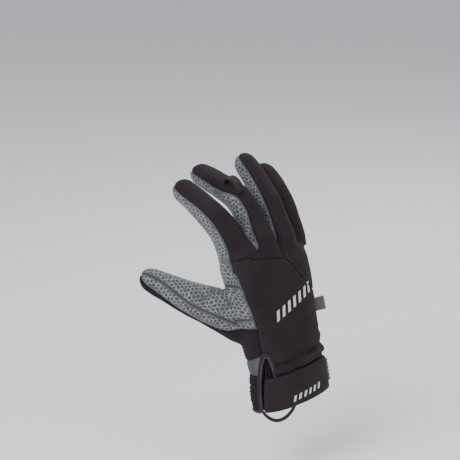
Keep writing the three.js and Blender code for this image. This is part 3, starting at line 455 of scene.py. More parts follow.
def split_once(points, data, tris):
    """Each triangle becomes four."""
    unique, back = np.unique(np.sort(sides_of(tris), axis=1), axis=0, return_inverse=True)
    back = back.reshape(3, -1) + len(points)
    points = np.concatenate([points, points[unique].mean(1)])
    data = np.concatenate([data, data[unique].mean(1)])
    a, b, c = tris.T
    ab, bc, ca = back
    small = (a, ab, ca), (ab, b, bc), (ca, bc, c), (ab, bc, ca)
    return points, data, np.concatenate([np.stack(t, 1) for t in small])


def border_edges(tris):
    e = sides_of(tris)
    key, counts = np.unique(np.sort(e, axis=1), axis=0, return_counts=True)
    lone = {tuple(k) for k in key[counts == 1]}
    kept = [pair for pair in e.tolist() if tuple(sorted(pair)) in lone]
    return np.array(kept, dtype=np.int64).reshape(-1, 2)


def border_distance(points, tris):
    """Distance of each point from the mesh's border."""
    e = border_edges(tris)
    spots = np.concatenate([points[e[:, 0]], points[e].mean(1)])
    tree = kdtree.KDTree(len(spots))
    for i, p in enumerate(spots):
        tree.insert(p, i)
    tree.balance()
    return np.array([tree.find(p)[2] for p in points])


# Regions of the panels: signed distances in millimetres, positive inside
def polygon_field(x, z, outline):
    """Distance from a closed outline, positive inside it."""
    ring = np.array(outline, float)
    nxt = np.roll(ring, -1, axis=0)
    best = np.full(len(x), 1e9)
    inside = np.zeros(len(x), bool)
    for (ax, az), (bx, bz) in zip(ring, nxt):
        dx, dz = bx - ax, bz - az
        t = np.clip(((x - ax) * dx + (z - az) * dz) / max(dx * dx + dz * dz, 1e-9), 0, 1)
        best = np.minimum(best, np.hypot(x - ax - t * dx, z - az - t * dz))
        crosses = (az > z) != (bz > z)
        with np.errstate(divide="ignore", invalid="ignore"):
            at = ax + (z - az) / (bz - az) * dx
        inside ^= crosses & (x < at)
    return np.where(inside, best, -best)


def digit_coordinates(points, section_at, count=240):
    """Place along a digit, angle round it, level (1 on its skin) and section radius."""
    samples = section_at(np.linspace(0, 1, count))
    best, near = np.full(len(points), 1e18), np.zeros(len(points), int)
    for k in range(count):
        d = ((points - samples["centre"][k]) ** 2).sum(1)
        closer = d < best
        best[closer], near[closer] = d[closer], k
    away = points - samples["centre"][near]
    beyond = (away * samples["axis"][near]).sum(1)
    along = near / (count - 1) * samples["length"] + beyond
    place = np.clip(along / samples["length"], 0, 1)
    s = section_at(place)
    away = points - s["centre"]
    u = (away * s["across"]).sum(1) / s["wide"]
    v = (away * s["up"]).sum(1) / s["deep"]
    v = np.where(v < 0, v / s["web"], v)
    return dict(along=along, place=place, angle=np.degrees(np.arctan2(u, v)), level=np.hypot(u, v),
                radius=(s["wide"] + s["deep"]) / 2 * np.hypot(u, v), length=samples["length"])


def wedge_field(c, low, high, start):
    """Between two seam lines of a digit, from a start on."""
    middle = (low + high) / 2
    turned = (c["angle"] - middle + 180) % 360 - 180
    across = (high - low) / 2 - np.abs(turned)
    inside = np.radians(across) * c["radius"]
    return np.minimum.reduce([inside, (1.5 - c["level"]) * 14, c["along"] - start * c["length"]])


def hand_angle(points):
    """Height and angle of points on the hand."""
    height = points[:, 2].copy()
    for _ in range(2):
        s = hand_at(height)
        height = points[:, 2] + s["tilt"] * (points[:, 0] - s["cx"])
    s = hand_at(height)
    u = (points[:, 0] - s["cx"]) / s["half"]
    v = -(points[:, 1] - s["cy"])
    v = v / np.where(v > 0, s["back"], s["palm"])
    angle = np.degrees(np.arctan2(power(u, s["square"] / 2), power(v, s["square"] / 2)))
    return height, angle


def on_finger(section_at, place, degrees):
    """Point on a finger's skin."""
    s = section_at([place])
    a = math.radians(degrees)
    u, v = power(math.sin(a), 2 / FINGER_SQUARE), power(math.cos(a), 2 / FINGER_SQUARE)
    deep = s["deep"] * s["tuck"] * (s["web"] if v < 0 else 1.0)
    return (s["centre"] + s["across"] * u * s["wide"] + s["up"] * v * deep)[0]


def from_back(point):
    """Across and rise of a point, as the back's panels are drawn."""
    return [point[0], point[2]]


finger_form = {name: (lambda place, f=f: finger_at(f, place)) for name, f in FINGERS.items()}
trace = {name: [from_back(on_hand(share * HAND_LENGTH, angle)) for share, angle in line]
         for name, line in HAND_SEAMS.items()}


def spot(name, place, angle):
    return from_back(on_finger(finger_form[name], place, angle))


def crotch_foot(a, b):
    """Foot of the gap between two fingers."""
    p = spot(a, 0.14, FINGER_SEAMS[a]["ulnar"][0][1])
    q = spot(b, 0.12, FINGER_SEAMS[b]["radial"][0][1])
    return [(p[0] + q[0]) / 2, (p[1] + q[1]) / 2 - 4]


FEET = {"index_middle": crotch_foot("index", "middle"), "middle_ring": crotch_foot("middle", "ring"),
        "ring_little": crotch_foot("ring", "little")}


def region_fields(points):
    """Each panel's field, in the order in which the panels are cut."""
    x, y, z = points.T
    digits = {name: digit_coordinates(points, form) for name, form in finger_form.items()}
    thumb = digit_coordinates(points, thumb_at)
    side = SIDE_SEAM_DEEP * HAND_DEPTH - y
    far = HAND_WIDTH

    def rise(share):
        return share * HAND_LENGTH

    def line(name, key, sign=1):
        return sign * ramp(FINGER_SEAMS[name][key], digits[name]["place"])

    back_of = {n: wedge_field(digits[n], line(n, "radial"), line(n, "ulnar"), 0.05) for n in digits}
    ulnar_of = {n: wedge_field(digits[n], line(n, "ulnar"), line(n, "palm"), 0.05) for n in digits}
    radial_of = {n: wedge_field(digits[n], line(n, "palm", -1), line(n, "radial"), 0.05) for n in digits}
    t_line = {k: ramp(v, thumb["place"]) for k, v in THUMB_SEAMS.items()}
    radial_edge, knuckle, diagonal = trace["radial_edge"], trace["knuckle"], trace["diagonal"]
    back_hand = polygon_field(x, z, [*radial_edge, [far, radial_edge[-1][1]], [far, diagonal[-1][1]],
                                     *diagonal[::-1], *knuckle[1:-1][::-1]])
    edge = [[d * HAND_DEPTH, rise(share)] for d, share in FLANK_SEAM]
    flank = polygon_field(y, z, [[-1.5 * HAND_DEPTH, edge[0][1]], *edge, [-1.5 * HAND_DEPTH, edge[-1][1]]])
    fingers = polygon_field(x, z, [*knuckle, FEET["middle_ring"], spot("middle", 0.2, 10),
                                   FEET["index_middle"], spot("index", 0.22, 0), spot("index", 0.2, -72)])
    ulnar = polygon_field(x, z, [*diagonal, [far, diagonal[-1][1]], [far, spot("little", 0.1, 90)[1]],
                                 spot("little", 0.18, 0), FEET["ring_little"], spot("ring", 0.2, 0),
                                 FEET["middle_ring"]])

    def between(a, b, foot):
        fx, fz = foot
        box = polygon_field(x, z, [[fx - 5, fz], [fx + 5, fz], [fx + 4, fz + 16], [fx - 4, fz + 16]])
        return np.maximum.reduce([ulnar_of[a], radial_of[b], np.minimum(box, HAND_DEPTH - y)])

    root = THUMB_ROOT[0] - 0.04 * HAND_WIDTH - x
    heel_top = rise(HEEL_TOP) - rise(HEEL_DROP) * np.clip((y / HAND_DEPTH + 0.2) / 0.8, 0, 1)

    def boxed(deep, low, high):
        return np.minimum.reduce([deep * HAND_DEPTH - y, z - rise(low), rise(high) - z, root])

    pad = polygon_field(x, z, [[-0.346 * far, rise(BAND_TOP)], [-0.2 * far, rise(BAND_BOTTOM)],
                               [-0.2 * far, rise(0.66)], [-0.37 * far, rise(0.785)],
                               [-1.2 * far, rise(1.1)], [-1.2 * far, 0]])
    return {
        "cuff": CUFF_HEIGHT - z,
        "back_hand": np.maximum(np.minimum(back_hand, side), np.minimum(flank, -0.2 * HAND_WIDTH - x)),
        "back_fingers": np.maximum.reduce([back_of["index"], back_of["middle"], np.minimum(fingers, side)]),
        "back_ulnar": np.maximum.reduce([back_of["ring"], back_of["little"], np.minimum(ulnar, side)]),
        "heel_patch": np.minimum.reduce([0.6 * HAND_DEPTH - y, z - CUFF_HEIGHT, heel_top - z, root]),
        "thumb_back": np.maximum(wedge_field(thumb, t_line["hidden"], t_line["lower"], 0),
                                 boxed(0.55, HEEL_TOP - HEEL_DROP, BAND_BOTTOM)),
        "thumb_band": np.maximum(wedge_field(thumb, t_line["lower"], t_line["middle"], 0),
                                 boxed(0.2, BAND_BOTTOM, BAND_TOP)),
        "thumb_pad": pad,
        "side_index_middle": between("index", "middle", FEET["index_middle"]),
        "side_middle_ring": between("middle", "ring", FEET["middle_ring"]),
        "side_ring_little": between("ring", "little", FEET["ring_little"]),
    }


# Slit: the opening inside the edging, and the cuff's lower edge
slit_heights = [h * SLIT_HEIGHT for h, _ in PIPING]
slit_angles = [a for _, a in PIPING]


def bottom_line(angle):
    """Height of the cuff's lower edge at an angle."""
    turn = (np.asarray(angle, float) + 46) % 360
    share = turn / 317
    return 2.4 * (1 - smoothstep(0.36, 0.55, share)) * (share < 1.0) + 0.5


def opening_field(points):
    height, angle = hand_angle(points)
    below = -20
    outline = [[a * CUFF_ARC, h] for h, a in zip(slit_heights, slit_angles)]
    outline = [[outline[0][0], below], *outline, [outline[-1][0], below]]
    return polygon_field(angle * CUFF_ARC, height, outline)


# Folds: lines on the form with a width and depth, dug in and raised beside
# each row: width, depth, then the line's points
FOLDS = [
    (2.2, 0.8, [(-42, 15, 125), (-38, 7.3, 114), (-38, 5, 104)]),
    (2.6, 0.9, [(-40, 18, 118), (-33, 12, 106), (-28, 2, 100)]),
    (3.0, 0.6, [(-36, -3, 144), (-27, -10, 146), (-17, -13, 147)]),
    (3.4, 0.55, [(2, -19, 74), (24, -18, 78), (48, -12, 84)]),
    (3.0, 0.5, [(10, -19, 56), (34, -16, 60), (52, -8, 63)]),
    (2.8, 0.7, [(-22, -16, 62), (2, -21, 52), (26, -20, 48), (48, -12, 51)]),
    (3.2, 0.5, [(-30, -8, 70), (-24, -14, 80), (-20, -16, 92)]),
    (2.4, 0.6, [(-40, 13, 187), (-37, 5, 184), (-32, -2, 183)]),
    (2.4, 0.7, [(-38, 5.5, 157), (-35, 0, 158), (-28, -8, 159)]),
    (2.6, 0.5, [(-52, 30, 132), (-50, 22, 118), (-48, 20, 108)]),
    (2.8, 0.6, [(-30, 0, 84), (-33, 6, 78), (-30, 14, 72)]),
    (2.4, 0.5, [(-31, 2, 72), (-33, 8, 66), (-30, 16, 62)]),
    (3.0, 0.8, [(-20, 34, 110), (4, 36, 122), (30, 34, 124), (52, 28, 118)]),
    (3.0, 0.7, [(-16, 33, 90), (6, 35, 84), (20, 36, 68)]),
    (1.7, 0.8, [(-12, -19, 46), (4, -21, 50), (22, -21, 52)]),
    (1.5, 0.7, [(20, -21, 46), (36, -17, 50), (50, -9, 54)]),
    (1.5, 0.6, [(30, -18, 56), (42, -14, 62), (52, -8, 72)]),
    (1.8, 0.5, [(36, -16, 96), (28, -17, 88), (22, -18, 76)]),
    (2.0, 0.5, [(-24, -12, 138), (-14, -13, 128), (-10, -14, 116)]),
    (2.2, 0.5, [(46, -8, 128), (40, -10, 118), (32, -13, 112)]),
]


def apply_folds(points, normals):
    """Digs each fold into the skin and raises its banks."""
    moved = points.copy()
    for width, depth, line in FOLDS:
        spots = np.array(line, float)
        legs = [np.linspace(a, b, 14, endpoint=False) for a, b in zip(spots, spots[1:])]
        fine = np.concatenate([*legs, spots[-1:]])
        near = np.full(len(points), 1e9)
        at = np.zeros(len(points))
        for k, p in enumerate(fine):
            d = np.linalg.norm(points - p, axis=1)
            closer = d < near
            near[closer], at[closer] = d[closer], k / (len(fine) - 1)
        fade = np.sin(np.pi * np.clip(0.12 + 0.76 * at, 0, 1))
        dug = np.exp(-((near / width) ** 2))
        banks = 0.55 * np.exp(-(((near - 2.1 * width) / (1.1 * width)) ** 2))
        moved += normals * (depth * fade * (banks - dug))[:, None]
    return moved


def wander(points, scale, seed):
    """Slow noise over the form."""
    return np.array([noise.noise(Vector(p) / scale + Vector((seed, 0, 0))) for p in points])


def with_wall(points, data, tris, wall):
    """A closed shell: the skin, its copy inside and a rim."""
    normals = normals_of(points, tris)
    inner = points - normals * wall
    e = border_edges(tris)
    n = len(points)
    near, far = e[:, 0], e[:, 1]
    rims = np.stack([far, near, near + n], 1), np.stack([far, near + n, far + n], 1)
    tris = np.concatenate([tris, tris[:, ::-1] + n, *rims])
    return np.concatenate([points, inner]), np.concatenate([data, data]), tris


# One skin, with its folds and its swell
skin_points, skin_tris = voxel_skin(SKIN_CELL)
skin_points = relax(skin_points, skin_tris, 10)
skin_normals = normals_of(skin_points, skin_tris)
if (skin_normals * (skin_points - skin_points.mean(0))).sum() < 0:
    skin_tris = skin_tris[:, ::-1]
    skin_normals = -skin_normals
skin_points = apply_folds(skin_points, skin_normals)
skin_normals = normals_of(skin_points, skin_tris)
swell = 0.55 * wander(skin_points, 24, 3) + 0.22 * wander(skin_points, 9, 7)
skin_points = skin_points + skin_normals * swell[:, None]
skin_normals = normals_of(skin_points, skin_tris)
fields = region_fields(skin_points)

# Data carried through the cuts: the fields, the opening, the height above the cuff's edge, then the normals
names = list(fields)
above_edge = skin_points[:, 2] - bottom_line(hand_angle(skin_points)[1])
data = np.column_stack([*[fields[n] for n in names], opening_field(skin_points), above_edge, skin_normals])
rest = cut(skin_points, data, skin_tris, data[:, -4])[0]
rest = cut(*rest, -rest[1][:, -5])[0]
panels = {}
for k, name in enumerate(names):
    part, rest = cut(*rest, rest[1][:, k])
    panels[name] = part
panels["palm"] = rest


# Shader helpers
def node(tree, kind, props=None, **inputs):
    """A shader node with its properties, and its inputs by name (spaces as _)."""
    made = tree.nodes.new(kind)
    for key, value in (props or {}).items():
        setattr(made, key, value)
    for key, value in inputs.items():
        if key.startswith("i_"):
            socket = made.inputs[int(key[2:])]
        else:
            socket = made.inputs[key.replace("_", " ")]
        if isinstance(value, bpy.types.NodeSocket):
            tree.links.new(value, socket)
        else:
            socket.default_value = value
    return made


def math_node(tree, operation, a, b=0.0, c=0.0, clamp=False):
    made = node(tree, "ShaderNodeMath", {"operation": operation, "use_clamp": clamp}, i_0=a, i_1=b, i_2=c)
    return made.outputs[0]


def vector_node(tree, operation, a, b):
    return node(tree, "ShaderNodeVectorMath", {"operation": operation}, i_0=a, i_1=tuple(b)).outputs


def soft_step(tree, value, low, high, out_low=0.0, out_high=1.0):
    made = node(tree, "ShaderNodeMapRange", {"interpolation_type": "SMOOTHSTEP"}, Value=value,
                From_Min=low, From_Max=high, To_Min=out_low, To_Max=out_high)
    return made.outputs["Result"]


def blend_colour(tree, factor, a, b, mode="MIX"):
    made = node(tree, "ShaderNodeMix", {"data_type": "RGBA", "blend_type": mode}, Factor=factor)
    for key, value in (("A", a), ("B", b)):
        socket = [s for s in made.inputs if s.name == key and s.type == "RGBA"][0]
        if isinstance(value, bpy.types.NodeSocket):
            tree.links.new(value, socket)
        else:
            socket.default_value = (*value, 1.0)
    return [s for s in made.outputs if s.type == "RGBA"][0]


def linear(r, g, b):
    """Colour from the 0-255 values that a picture shows."""
    c = np.array([r, g, b]) / 255
    return tuple(float(x) for x in np.where(c <= 0.04045, c / 12.92, ((c + 0.055) / 1.055) ** 2.4))


def attribute(tree, name, output="Fac"):
    return node(tree, "ShaderNodeAttribute", {"attribute_name": name}).outputs[output]


def new_material(name):
    """A material with one shader, its tree and the shader."""
    material = bpy.data.materials.new(name)
    material.use_nodes = True
    tree = material.node_tree
    tree.nodes.clear()
    out = node(tree, "ShaderNodeOutputMaterial")
    shader = node(tree, "ShaderNodeBsdfPrincipled")
    tree.links.new(shader.outputs[0], out.inputs[0])
    return material, tree, shader


def cloth_parts(tree):
    """Flat cloth coordinates in millimetres, and the distance from the nearest seam."""
    split = node(tree, "ShaderNodeSeparateXYZ", i_0=attribute(tree, "cloth", "Vector"))
    return split.outputs[0], split.outputs[1], attribute(tree, "seam")


def object_place(tree):
    return node(tree, "ShaderNodeTexCoord").outputs["Object"]


def noise_of(tree, scale, detail=3.0, vector=None, stretch=None):
    if vector is None:
        vector = object_place(tree)
    if stretch:
        vector = vector_node(tree, "MULTIPLY", vector, stretch)[0]
    return node(tree, "ShaderNodeTexNoise", Vector=vector, Scale=scale, Detail=detail).outputs["Fac"]


def shader_group(name, takes, gives):
    """A group of shader nodes, its inputs as (name, kind, value) and its one output."""
    tree = bpy.data.node_groups.new(name, "ShaderNodeTree")
    for label, kind, value in takes:
        socket = tree.interface.new_socket(label, in_out="INPUT", socket_type="NodeSocket" + kind)
        socket.default_value = value
    tree.interface.new_socket(gives[0], in_out="OUTPUT", socket_type="NodeSocket" + gives[1])
    return tree, tree.nodes.new("NodeGroupInput").outputs, tree.nodes.new("NodeGroupOutput").inputs


def weave_group():
    """Height of a woven thread, from flat cloth coordinates and two pitches in millimetres."""
    takes = [("U", "Float", 0.0), ("V", "Float", 0.0), ("Across", "Float", 0.9), ("Along", "Float", 1.3)]
    tree, given, result = shader_group("weave", takes, ("Height", "Float"))
    across, along = (math_node(tree, "MULTIPLY", math_node(tree, "DIVIDE", given[a], given[b]), 2 * math.pi)
                     for a, b in (("U", "Across"), ("V", "Along")))
    ribs = math_node(tree, "SINE", across)
    rows = math_node(tree, "SINE", math_node(tree, "ADD", along, math_node(tree, "MULTIPLY", ribs, 0.8)))
    height = math_node(tree, "MULTIPLY_ADD", rows, 0.3, math_node(tree, "MULTIPLY", ribs, 0.5))
    tree.links.new(height, result[0])
    return tree


def mottle_group():
    """Broad patches of wear, as a mask."""
    takes = [("Place", "Vector", (0, 0, 0)), ("Scale", "Float", 60.0),
             ("Low", "Float", 0.3), ("High", "Float", 0.7)]
    tree, given, result = shader_group("mottle", takes, ("Mask", "Float"))
    broad = noise_of(tree, given["Scale"], 3, given["Place"])
    tree.links.new(soft_step(tree, broad, given["Low"], given["High"]), result[0])
    return tree


def painted_seam_shade_group():
    """Cloth that darkens into a seam: painted shade, standing in for the shade that falls in the seam's
    groove.
    """
    takes = [("Cloth", "Color", (0.1, 0.1, 0.1, 1)), ("Dark", "Color", (0, 0, 0, 1)),
             ("Seam", "Float", PAST_SEAMS), ("Reach", "Float", 1.6), ("Depth", "Float", 0.5)]
    tree, given, result = shader_group("painted seam shade", takes, ("Cloth", "Color"))
    near = soft_step(tree, given["Seam"], 0.0, given["Reach"], given["Depth"], 0.0)
    tree.links.new(blend_colour(tree, near, given["Cloth"], given["Dark"]), result[0])
    return tree


GROUPS = {"weave": weave_group(), "mottle": mottle_group(), "seam": painted_seam_shade_group()}


def use(tree, group, **inputs):
    return node(tree, "ShaderNodeGroup", {"node_tree": GROUPS[group]}, **inputs).outputs[0]


def mottled(tree, scale, low=0.3, high=0.7):
    return use(tree, "mottle", Place=object_place(tree), Scale=float(scale), Low=low, High=high)


def with_seam_shade(tree, colour, dark, seam, reach=1.6, depth=0.5):
    """The colour, darkened into the seams as painted shade."""
    return use(tree, "seam", Cloth=colour, Dark=(*linear(*dark), 1.0), Seam=seam, Reach=reach, Depth=depth)


def bump(tree, heights):
    """Chained bumps: (height, distance in metres, strength)."""
    normal = None
    for height, distance, strength in heights:
        extra = {} if normal is None else {"Normal": normal}
        made = node(tree, "ShaderNodeBump", Height=height, Distance=distance, Strength=strength, **extra)
        normal = made.outputs[0]
    return normal


def shades(base, low, high):
    """Two shades of a colour."""
    return linear(*[c * low for c in base]), linear(*[c * high for c in base])


def woven(name, dark, light, pitch=(0.9, 1.3), roughness=0.86, sheen=0.08, mark=None, weave=0.5):
    """Woven or knitted cloth, with a printed mark where one is given."""
    material, tree, shader = new_material(name)
    u, v, seam = cloth_parts(tree)
    thread = use(tree, "weave", U=u, V=v, Across=pitch[0], Along=pitch[1])
    fibre = noise_of(tree, 900, 2, stretch=(1.0, 1.0, 0.3))
    tone = math_node(tree, "MULTIPLY_ADD", soft_step(tree, thread, -0.8, 0.8), 0.28,
                     math_node(tree, "MULTIPLY_ADD", mottled(tree, 38, 0.3, 0.72), 0.42,
                               math_node(tree, "MULTIPLY", fibre, 0.4)), clamp=True)
    colour = blend_colour(tree, tone, linear(*dark), linear(*light))
    # Painted shade: the cloth darkens into its seams, where the grooves would be shaded
    colour = with_seam_shade(tree, colour, [c * 0.45 for c in dark], seam, 1.6, 0.45)
    rough = math_node(tree, "MULTIPLY_ADD", mottled(tree, 38, 0.25, 0.8), 0.12, roughness - 0.06)
    heights = [(thread, 0.00012, weave), (fibre, 0.00012, 0.5)]
    if mark:
        mask, bright = mark(tree)
        colour = blend_colour(tree, mask, colour, linear(*bright))
        rough = soft_step(tree, mask, 0, 1, roughness, 0.42)
        heights.append((mask, 0.00015, 0.6))
    tree.links.new(colour, shader.inputs["Base Color"])
    tree.links.new(rough, shader.inputs["Roughness"])
    shader.inputs["Sheen Weight"].default_value = sheen
    shader.inputs["Sheen Roughness"].default_value = 0.45
    shader.inputs["Sheen Tint"].default_value = (*linear(150, 130, 140), 1)
    shader.inputs["Specular IOR Level"].default_value = 0.3
    tree.links.new(bump(tree, heights), shader.inputs["Normal"])
    return material


def slanted_bars(start, end, height, count, fill=0.45, slant=0.5):
    """A plain printed row of slanted bars between two spots on the form."""
    a, b = to_world(start), to_world(end)
    along = b - a
    length = float(np.linalg.norm(along))
    along /= length
    up = np.cross(along, [0, 1, 0])
    up /= np.linalg.norm(up)
    if up[2] < 0:
        up = -up

    def mark(tree):
        away = vector_node(tree, "SUBTRACT", object_place(tree), a)[0]
        s, t = (vector_node(tree, "DOT_PRODUCT", away, way)["Value"] for way in (along, up))
        sheared = math_node(tree, "MULTIPLY_ADD", t, -slant, s)
        cell = math_node(tree, "MULTIPLY", sheared, count / length)
        middle = math_node(tree, "SUBTRACT", math_node(tree, "FRACT", cell), 0.5)
        local = math_node(tree, "ABSOLUTE", middle)
        bar = soft_step(tree, local, fill / 2 - 0.03, fill / 2 + 0.03, 1.0, 0.0)
        half, soft = height * MM / 2, 0.0002
        tall = soft_step(tree, math_node(tree, "ABSOLUTE", t), half - soft, half + soft, 1.0, 0.0)
        first = soft_step(tree, cell, -0.01, 0.01)
        last = soft_step(tree, cell, count - 0.01, count + 0.01, 1.0, 0.0)
        normal = node(tree, "ShaderNodeNewGeometry").outputs["Normal"]
        normal_y = node(tree, "ShaderNodeSeparateXYZ", i_0=normal).outputs[1]
        facing = soft_step(tree, normal_y, -0.5, -0.4, 1.0, 0.0)
        mask = bar
        for other in (tall, first, last, facing):
            mask = math_node(tree, "MULTIPLY", mask, other)
        return mask, (214, 212, 214)

    return mark


def net_print(name, base=(84, 86, 92), line=(162, 168, 168), cell=(48, 48, 54), pitch=4.15, roughness=0.62):
    """Grey grip cloth with a printed net of round cells."""
    material, tree, shader = new_material(name)
    u, v, seam = cloth_parts(tree)
    wobble_u = math_node(tree, "MULTIPLY_ADD", noise_of(tree, 120, 3), 5.5, u)
    wobble_v = math_node(tree, "MULTIPLY_ADD", noise_of(tree, 110, 3, stretch=(1.0, 1.3, 0.8)), 5.5, v)
    distances = []
    for shift in (0.0, 0.5):
        legs = []
        for value, size in ((wobble_u, pitch), (wobble_v, pitch * math.sqrt(3))):
            cells = math_node(tree, "ADD", math_node(tree, "DIVIDE", value, size), shift)
            local = math_node(tree, "SUBTRACT", math_node(tree, "FRACT", cells), 0.5)
            leg = math_node(tree, "MULTIPLY", local, size / pitch)
            legs.append(math_node(tree, "MULTIPLY", leg, leg))
        distances.append(math_node(tree, "SQRT", math_node(tree, "ADD", *legs)))
    d = math_node(tree, "MINIMUM", *distances)
    fine = noise_of(tree, 1400, 2)
    dots = soft_step(tree, math_node(tree, "MULTIPLY_ADD", fine, 0.08, d), 0.27, 0.36, 1.0, 0.0)
    net = soft_step(tree, d, 0.37, 0.46)
    broken = soft_step(tree, noise_of(tree, 420, 2), 0.36, 0.52, 0.2, 1.0)
    # Painted sheen and shade: the print fades out near the seams, where light hides it as the cloth turns
    # away; worn adds patches where the print is worn off
    clear = soft_step(tree, seam, 1.0, 3.4)
    worn = math_node(tree, "MULTIPLY_ADD", mottled(tree, 60, 0.28, 0.55), 0.65, 0.35)
    patch = math_node(tree, "MULTIPLY", clear, worn)
    tone = blend_colour(tree, mottled(tree, 60), *shades(base, 0.88, 1.07))
    drawn = math_node(tree, "MULTIPLY", net, broken)
    drawn = math_node(tree, "MULTIPLY", drawn, math_node(tree, "MULTIPLY", patch, 0.85))
    tone = blend_colour(tree, drawn, tone, linear(*line))
    filled = math_node(tree, "MULTIPLY", dots, math_node(tree, "MULTIPLY", patch, 0.5))
    tone = blend_colour(tree, filled, tone, linear(*cell))
    tone = blend_colour(tree, math_node(tree, "MULTIPLY", fine, 0.22), tone, shades(base, 0.6, 1)[0])
    # Painted shade: the grip cloth darkens into its seams, where the grooves would be shaded
    tone = with_seam_shade(tree, tone, [c * 0.34 for c in base], seam, 1.25, 0.85)
    tree.links.new(tone, shader.inputs["Base Color"])
    rough = soft_step(tree, net, 0, 1, roughness + 0.08, roughness - 0.1)
    tree.links.new(rough, shader.inputs["Roughness"])
    shader.inputs["Specular IOR Level"].default_value = 0.4
    shader.inputs["Sheen Weight"].default_value = 0.15
    shader.inputs["Sheen Roughness"].default_value = 0.5
    heights = [(net, 0.00025, 0.7), (fine, 0.00012, 0.6), (mottled(tree, 60), 0.0006, 0.3)]
    tree.links.new(bump(tree, heights), shader.inputs["Normal"])
    return material


def leather(name, base):
    """Fine grained leather."""
    material, tree, shader = new_material(name)
    seam = cloth_parts(tree)[2]
    cells = {"feature": "DISTANCE_TO_EDGE"}
    grain = node(tree, "ShaderNodeTexVoronoi", cells, Vector=object_place(tree), Scale=700)
    fine = noise_of(tree, 1300, 2)
    tone = blend_colour(tree, mottled(tree, 90), *shades(base, 0.85, 1.1))
    tone = blend_colour(tree, math_node(tree, "MULTIPLY", fine, 0.3), tone, shades(base, 0.6, 1)[0])
    # Painted shade: the leather darkens into its seams, where the grooves would be shaded
    tone = with_seam_shade(tree, tone, [c * 0.4 for c in base], seam)
    tree.links.new(tone, shader.inputs["Base Color"])
    shader.inputs["Roughness"].default_value = 0.68
    heights = [(soft_step(tree, grain.outputs["Distance"], 0.0, 0.15), 0.00015, 0.5), (fine, 0.0001, 0.5)]
    tree.links.new(bump(tree, heights), shader.inputs["Normal"])
    return material


def fuzzy(name, base=(30, 26, 30), scale=900):
    """Felted loops, as on the field that hooks close on."""
    material, tree, shader = new_material(name)
    curls = noise_of(tree, scale, 4)
    tone = blend_colour(tree, soft_step(tree, curls, 0.35, 0.7), *shades(base, 0.5, 1.7))
    tone = blend_colour(tree, math_node(tree, "MULTIPLY", mottled(tree, 150), 0.3), tone, linear(*base))
    tree.links.new(tone, shader.inputs["Base Color"])
    shader.inputs["Roughness"].default_value = 0.95
    shader.inputs["Sheen Weight"].default_value = 0.5
    tree.links.new(bump(tree, [(curls, 0.0006, 0.9)]), shader.inputs["Normal"])
    return material


# Pieces
def declared(piece, replaced):
    """Says what a piece rides on, which nodes it replaces."""
    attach(piece, "root")
    for name in replaced:
        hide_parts(name)
    return piece


def contour(points, normals, tris, field, level):
    """Smooth lines on a mesh where a field has a level, each with its normals."""
    both = np.column_stack([points, normals])
    f = field - level + 1e-6
    inside = f > 0
    links, spots = {}, {}
    for tri in tris[(inside[tris].sum(1) % 3) > 0].tolist():
        ends = []
        for a, b in ((tri[0], tri[1]), (tri[1], tri[2]), (tri[2], tri[0])):
            if inside[a] != inside[b]:
                key = (min(a, b), max(a, b))
                t = f[key[0]] / (f[key[0]] - f[key[1]])
                spots[key] = both[key[0]] * (1 - t) + both[key[1]] * t
                ends.append(key)
        links.setdefault(ends[0], []).append(ends[1])
        links.setdefault(ends[1], []).append(ends[0])
    lines, left = [], set(links)
    for start in sorted(k for k in links if len(links[k]) == 1) + sorted(links):
        chain = []
        while start is not None and start in left:
            left.remove(start)
            chain.append(spots[start])
            start = next((k for k in links[start] if k in left), None)
        if len(chain) > 12:
            chain = np.array(chain)
            for _ in range(3):
                chain[1:-1] = (chain[:-2] + chain[1:-1] * 2 + chain[2:]) / 4
            lines.append(chain)
    return lines


def stitch_spots(lines, pitch, keep=lambda p: np.ones(len(p), bool)):
    """Places, directions and normals of stitches along lines."""
    spots = []
    for line in lines:
        run = run_along(line[:, :3])
        if run[-1] < 10:
            continue
        at = np.arange(pitch / 2, run[-1], pitch)
        place = np.column_stack([np.interp(at, run, line[:, k]) for k in range(6)])
        ahead = np.column_stack([np.interp(at + 0.8, run, line[:, k]) for k in range(3)]) - place[:, :3]
        spots.append(np.column_stack([place, ahead])[keep(place[:, :3])])
    return spots


def add_attributes(mesh, cloth, seam):
    """Flat cloth coordinates and seam distances, for the materials."""
    layer = mesh.attributes.new("cloth", "FLOAT_VECTOR", "POINT")
    layer.data.foreach_set("vector", np.column_stack([cloth, np.zeros(len(cloth))]).ravel())
    layer = mesh.attributes.new("seam", "FLOAT", "POINT")
    layer.data.foreach_set("value", np.asarray(seam, float))


def round_from(angle, zero):
    """Angle from a zero line, in radians, between half turns."""
    return np.radians((angle - zero + 180) % 360 - 180)


def digit_cloth(points, section_at, zero=0.0):
    c = digit_coordinates(points, section_at, 120)
    return np.column_stack([round_from(c["angle"], zero) * c["radius"], c["along"]])


def hand_cloth(points):
    height, angle = hand_angle(points)
    return np.column_stack([np.radians(angle) * 40, height])


def palm_cloth(points):
    height, angle = hand_angle(points)
    hand = np.column_stack([round_from(angle, -66) * 38, height])
    index = digit_coordinates(points, finger_form["index"], 120)
    strip = np.column_stack([round_from(index["angle"], -80) * index["radius"], index["along"] + 148])
    flat = np.column_stack([points[:, 0] + 34, points[:, 2] + np.maximum(points[:, 1] - 20, 0)])
    on_strip = smoothstep(150, 168, points[:, 2]) * (np.abs(index["level"]) < 1.25)
    mixed = hand * (1 - on_strip[:, None]) + strip * on_strip[:, None]
    others = (points[:, 2] > 160) & (index["level"] >= 1.25)
    mixed[others] = flat[others]
    return mixed


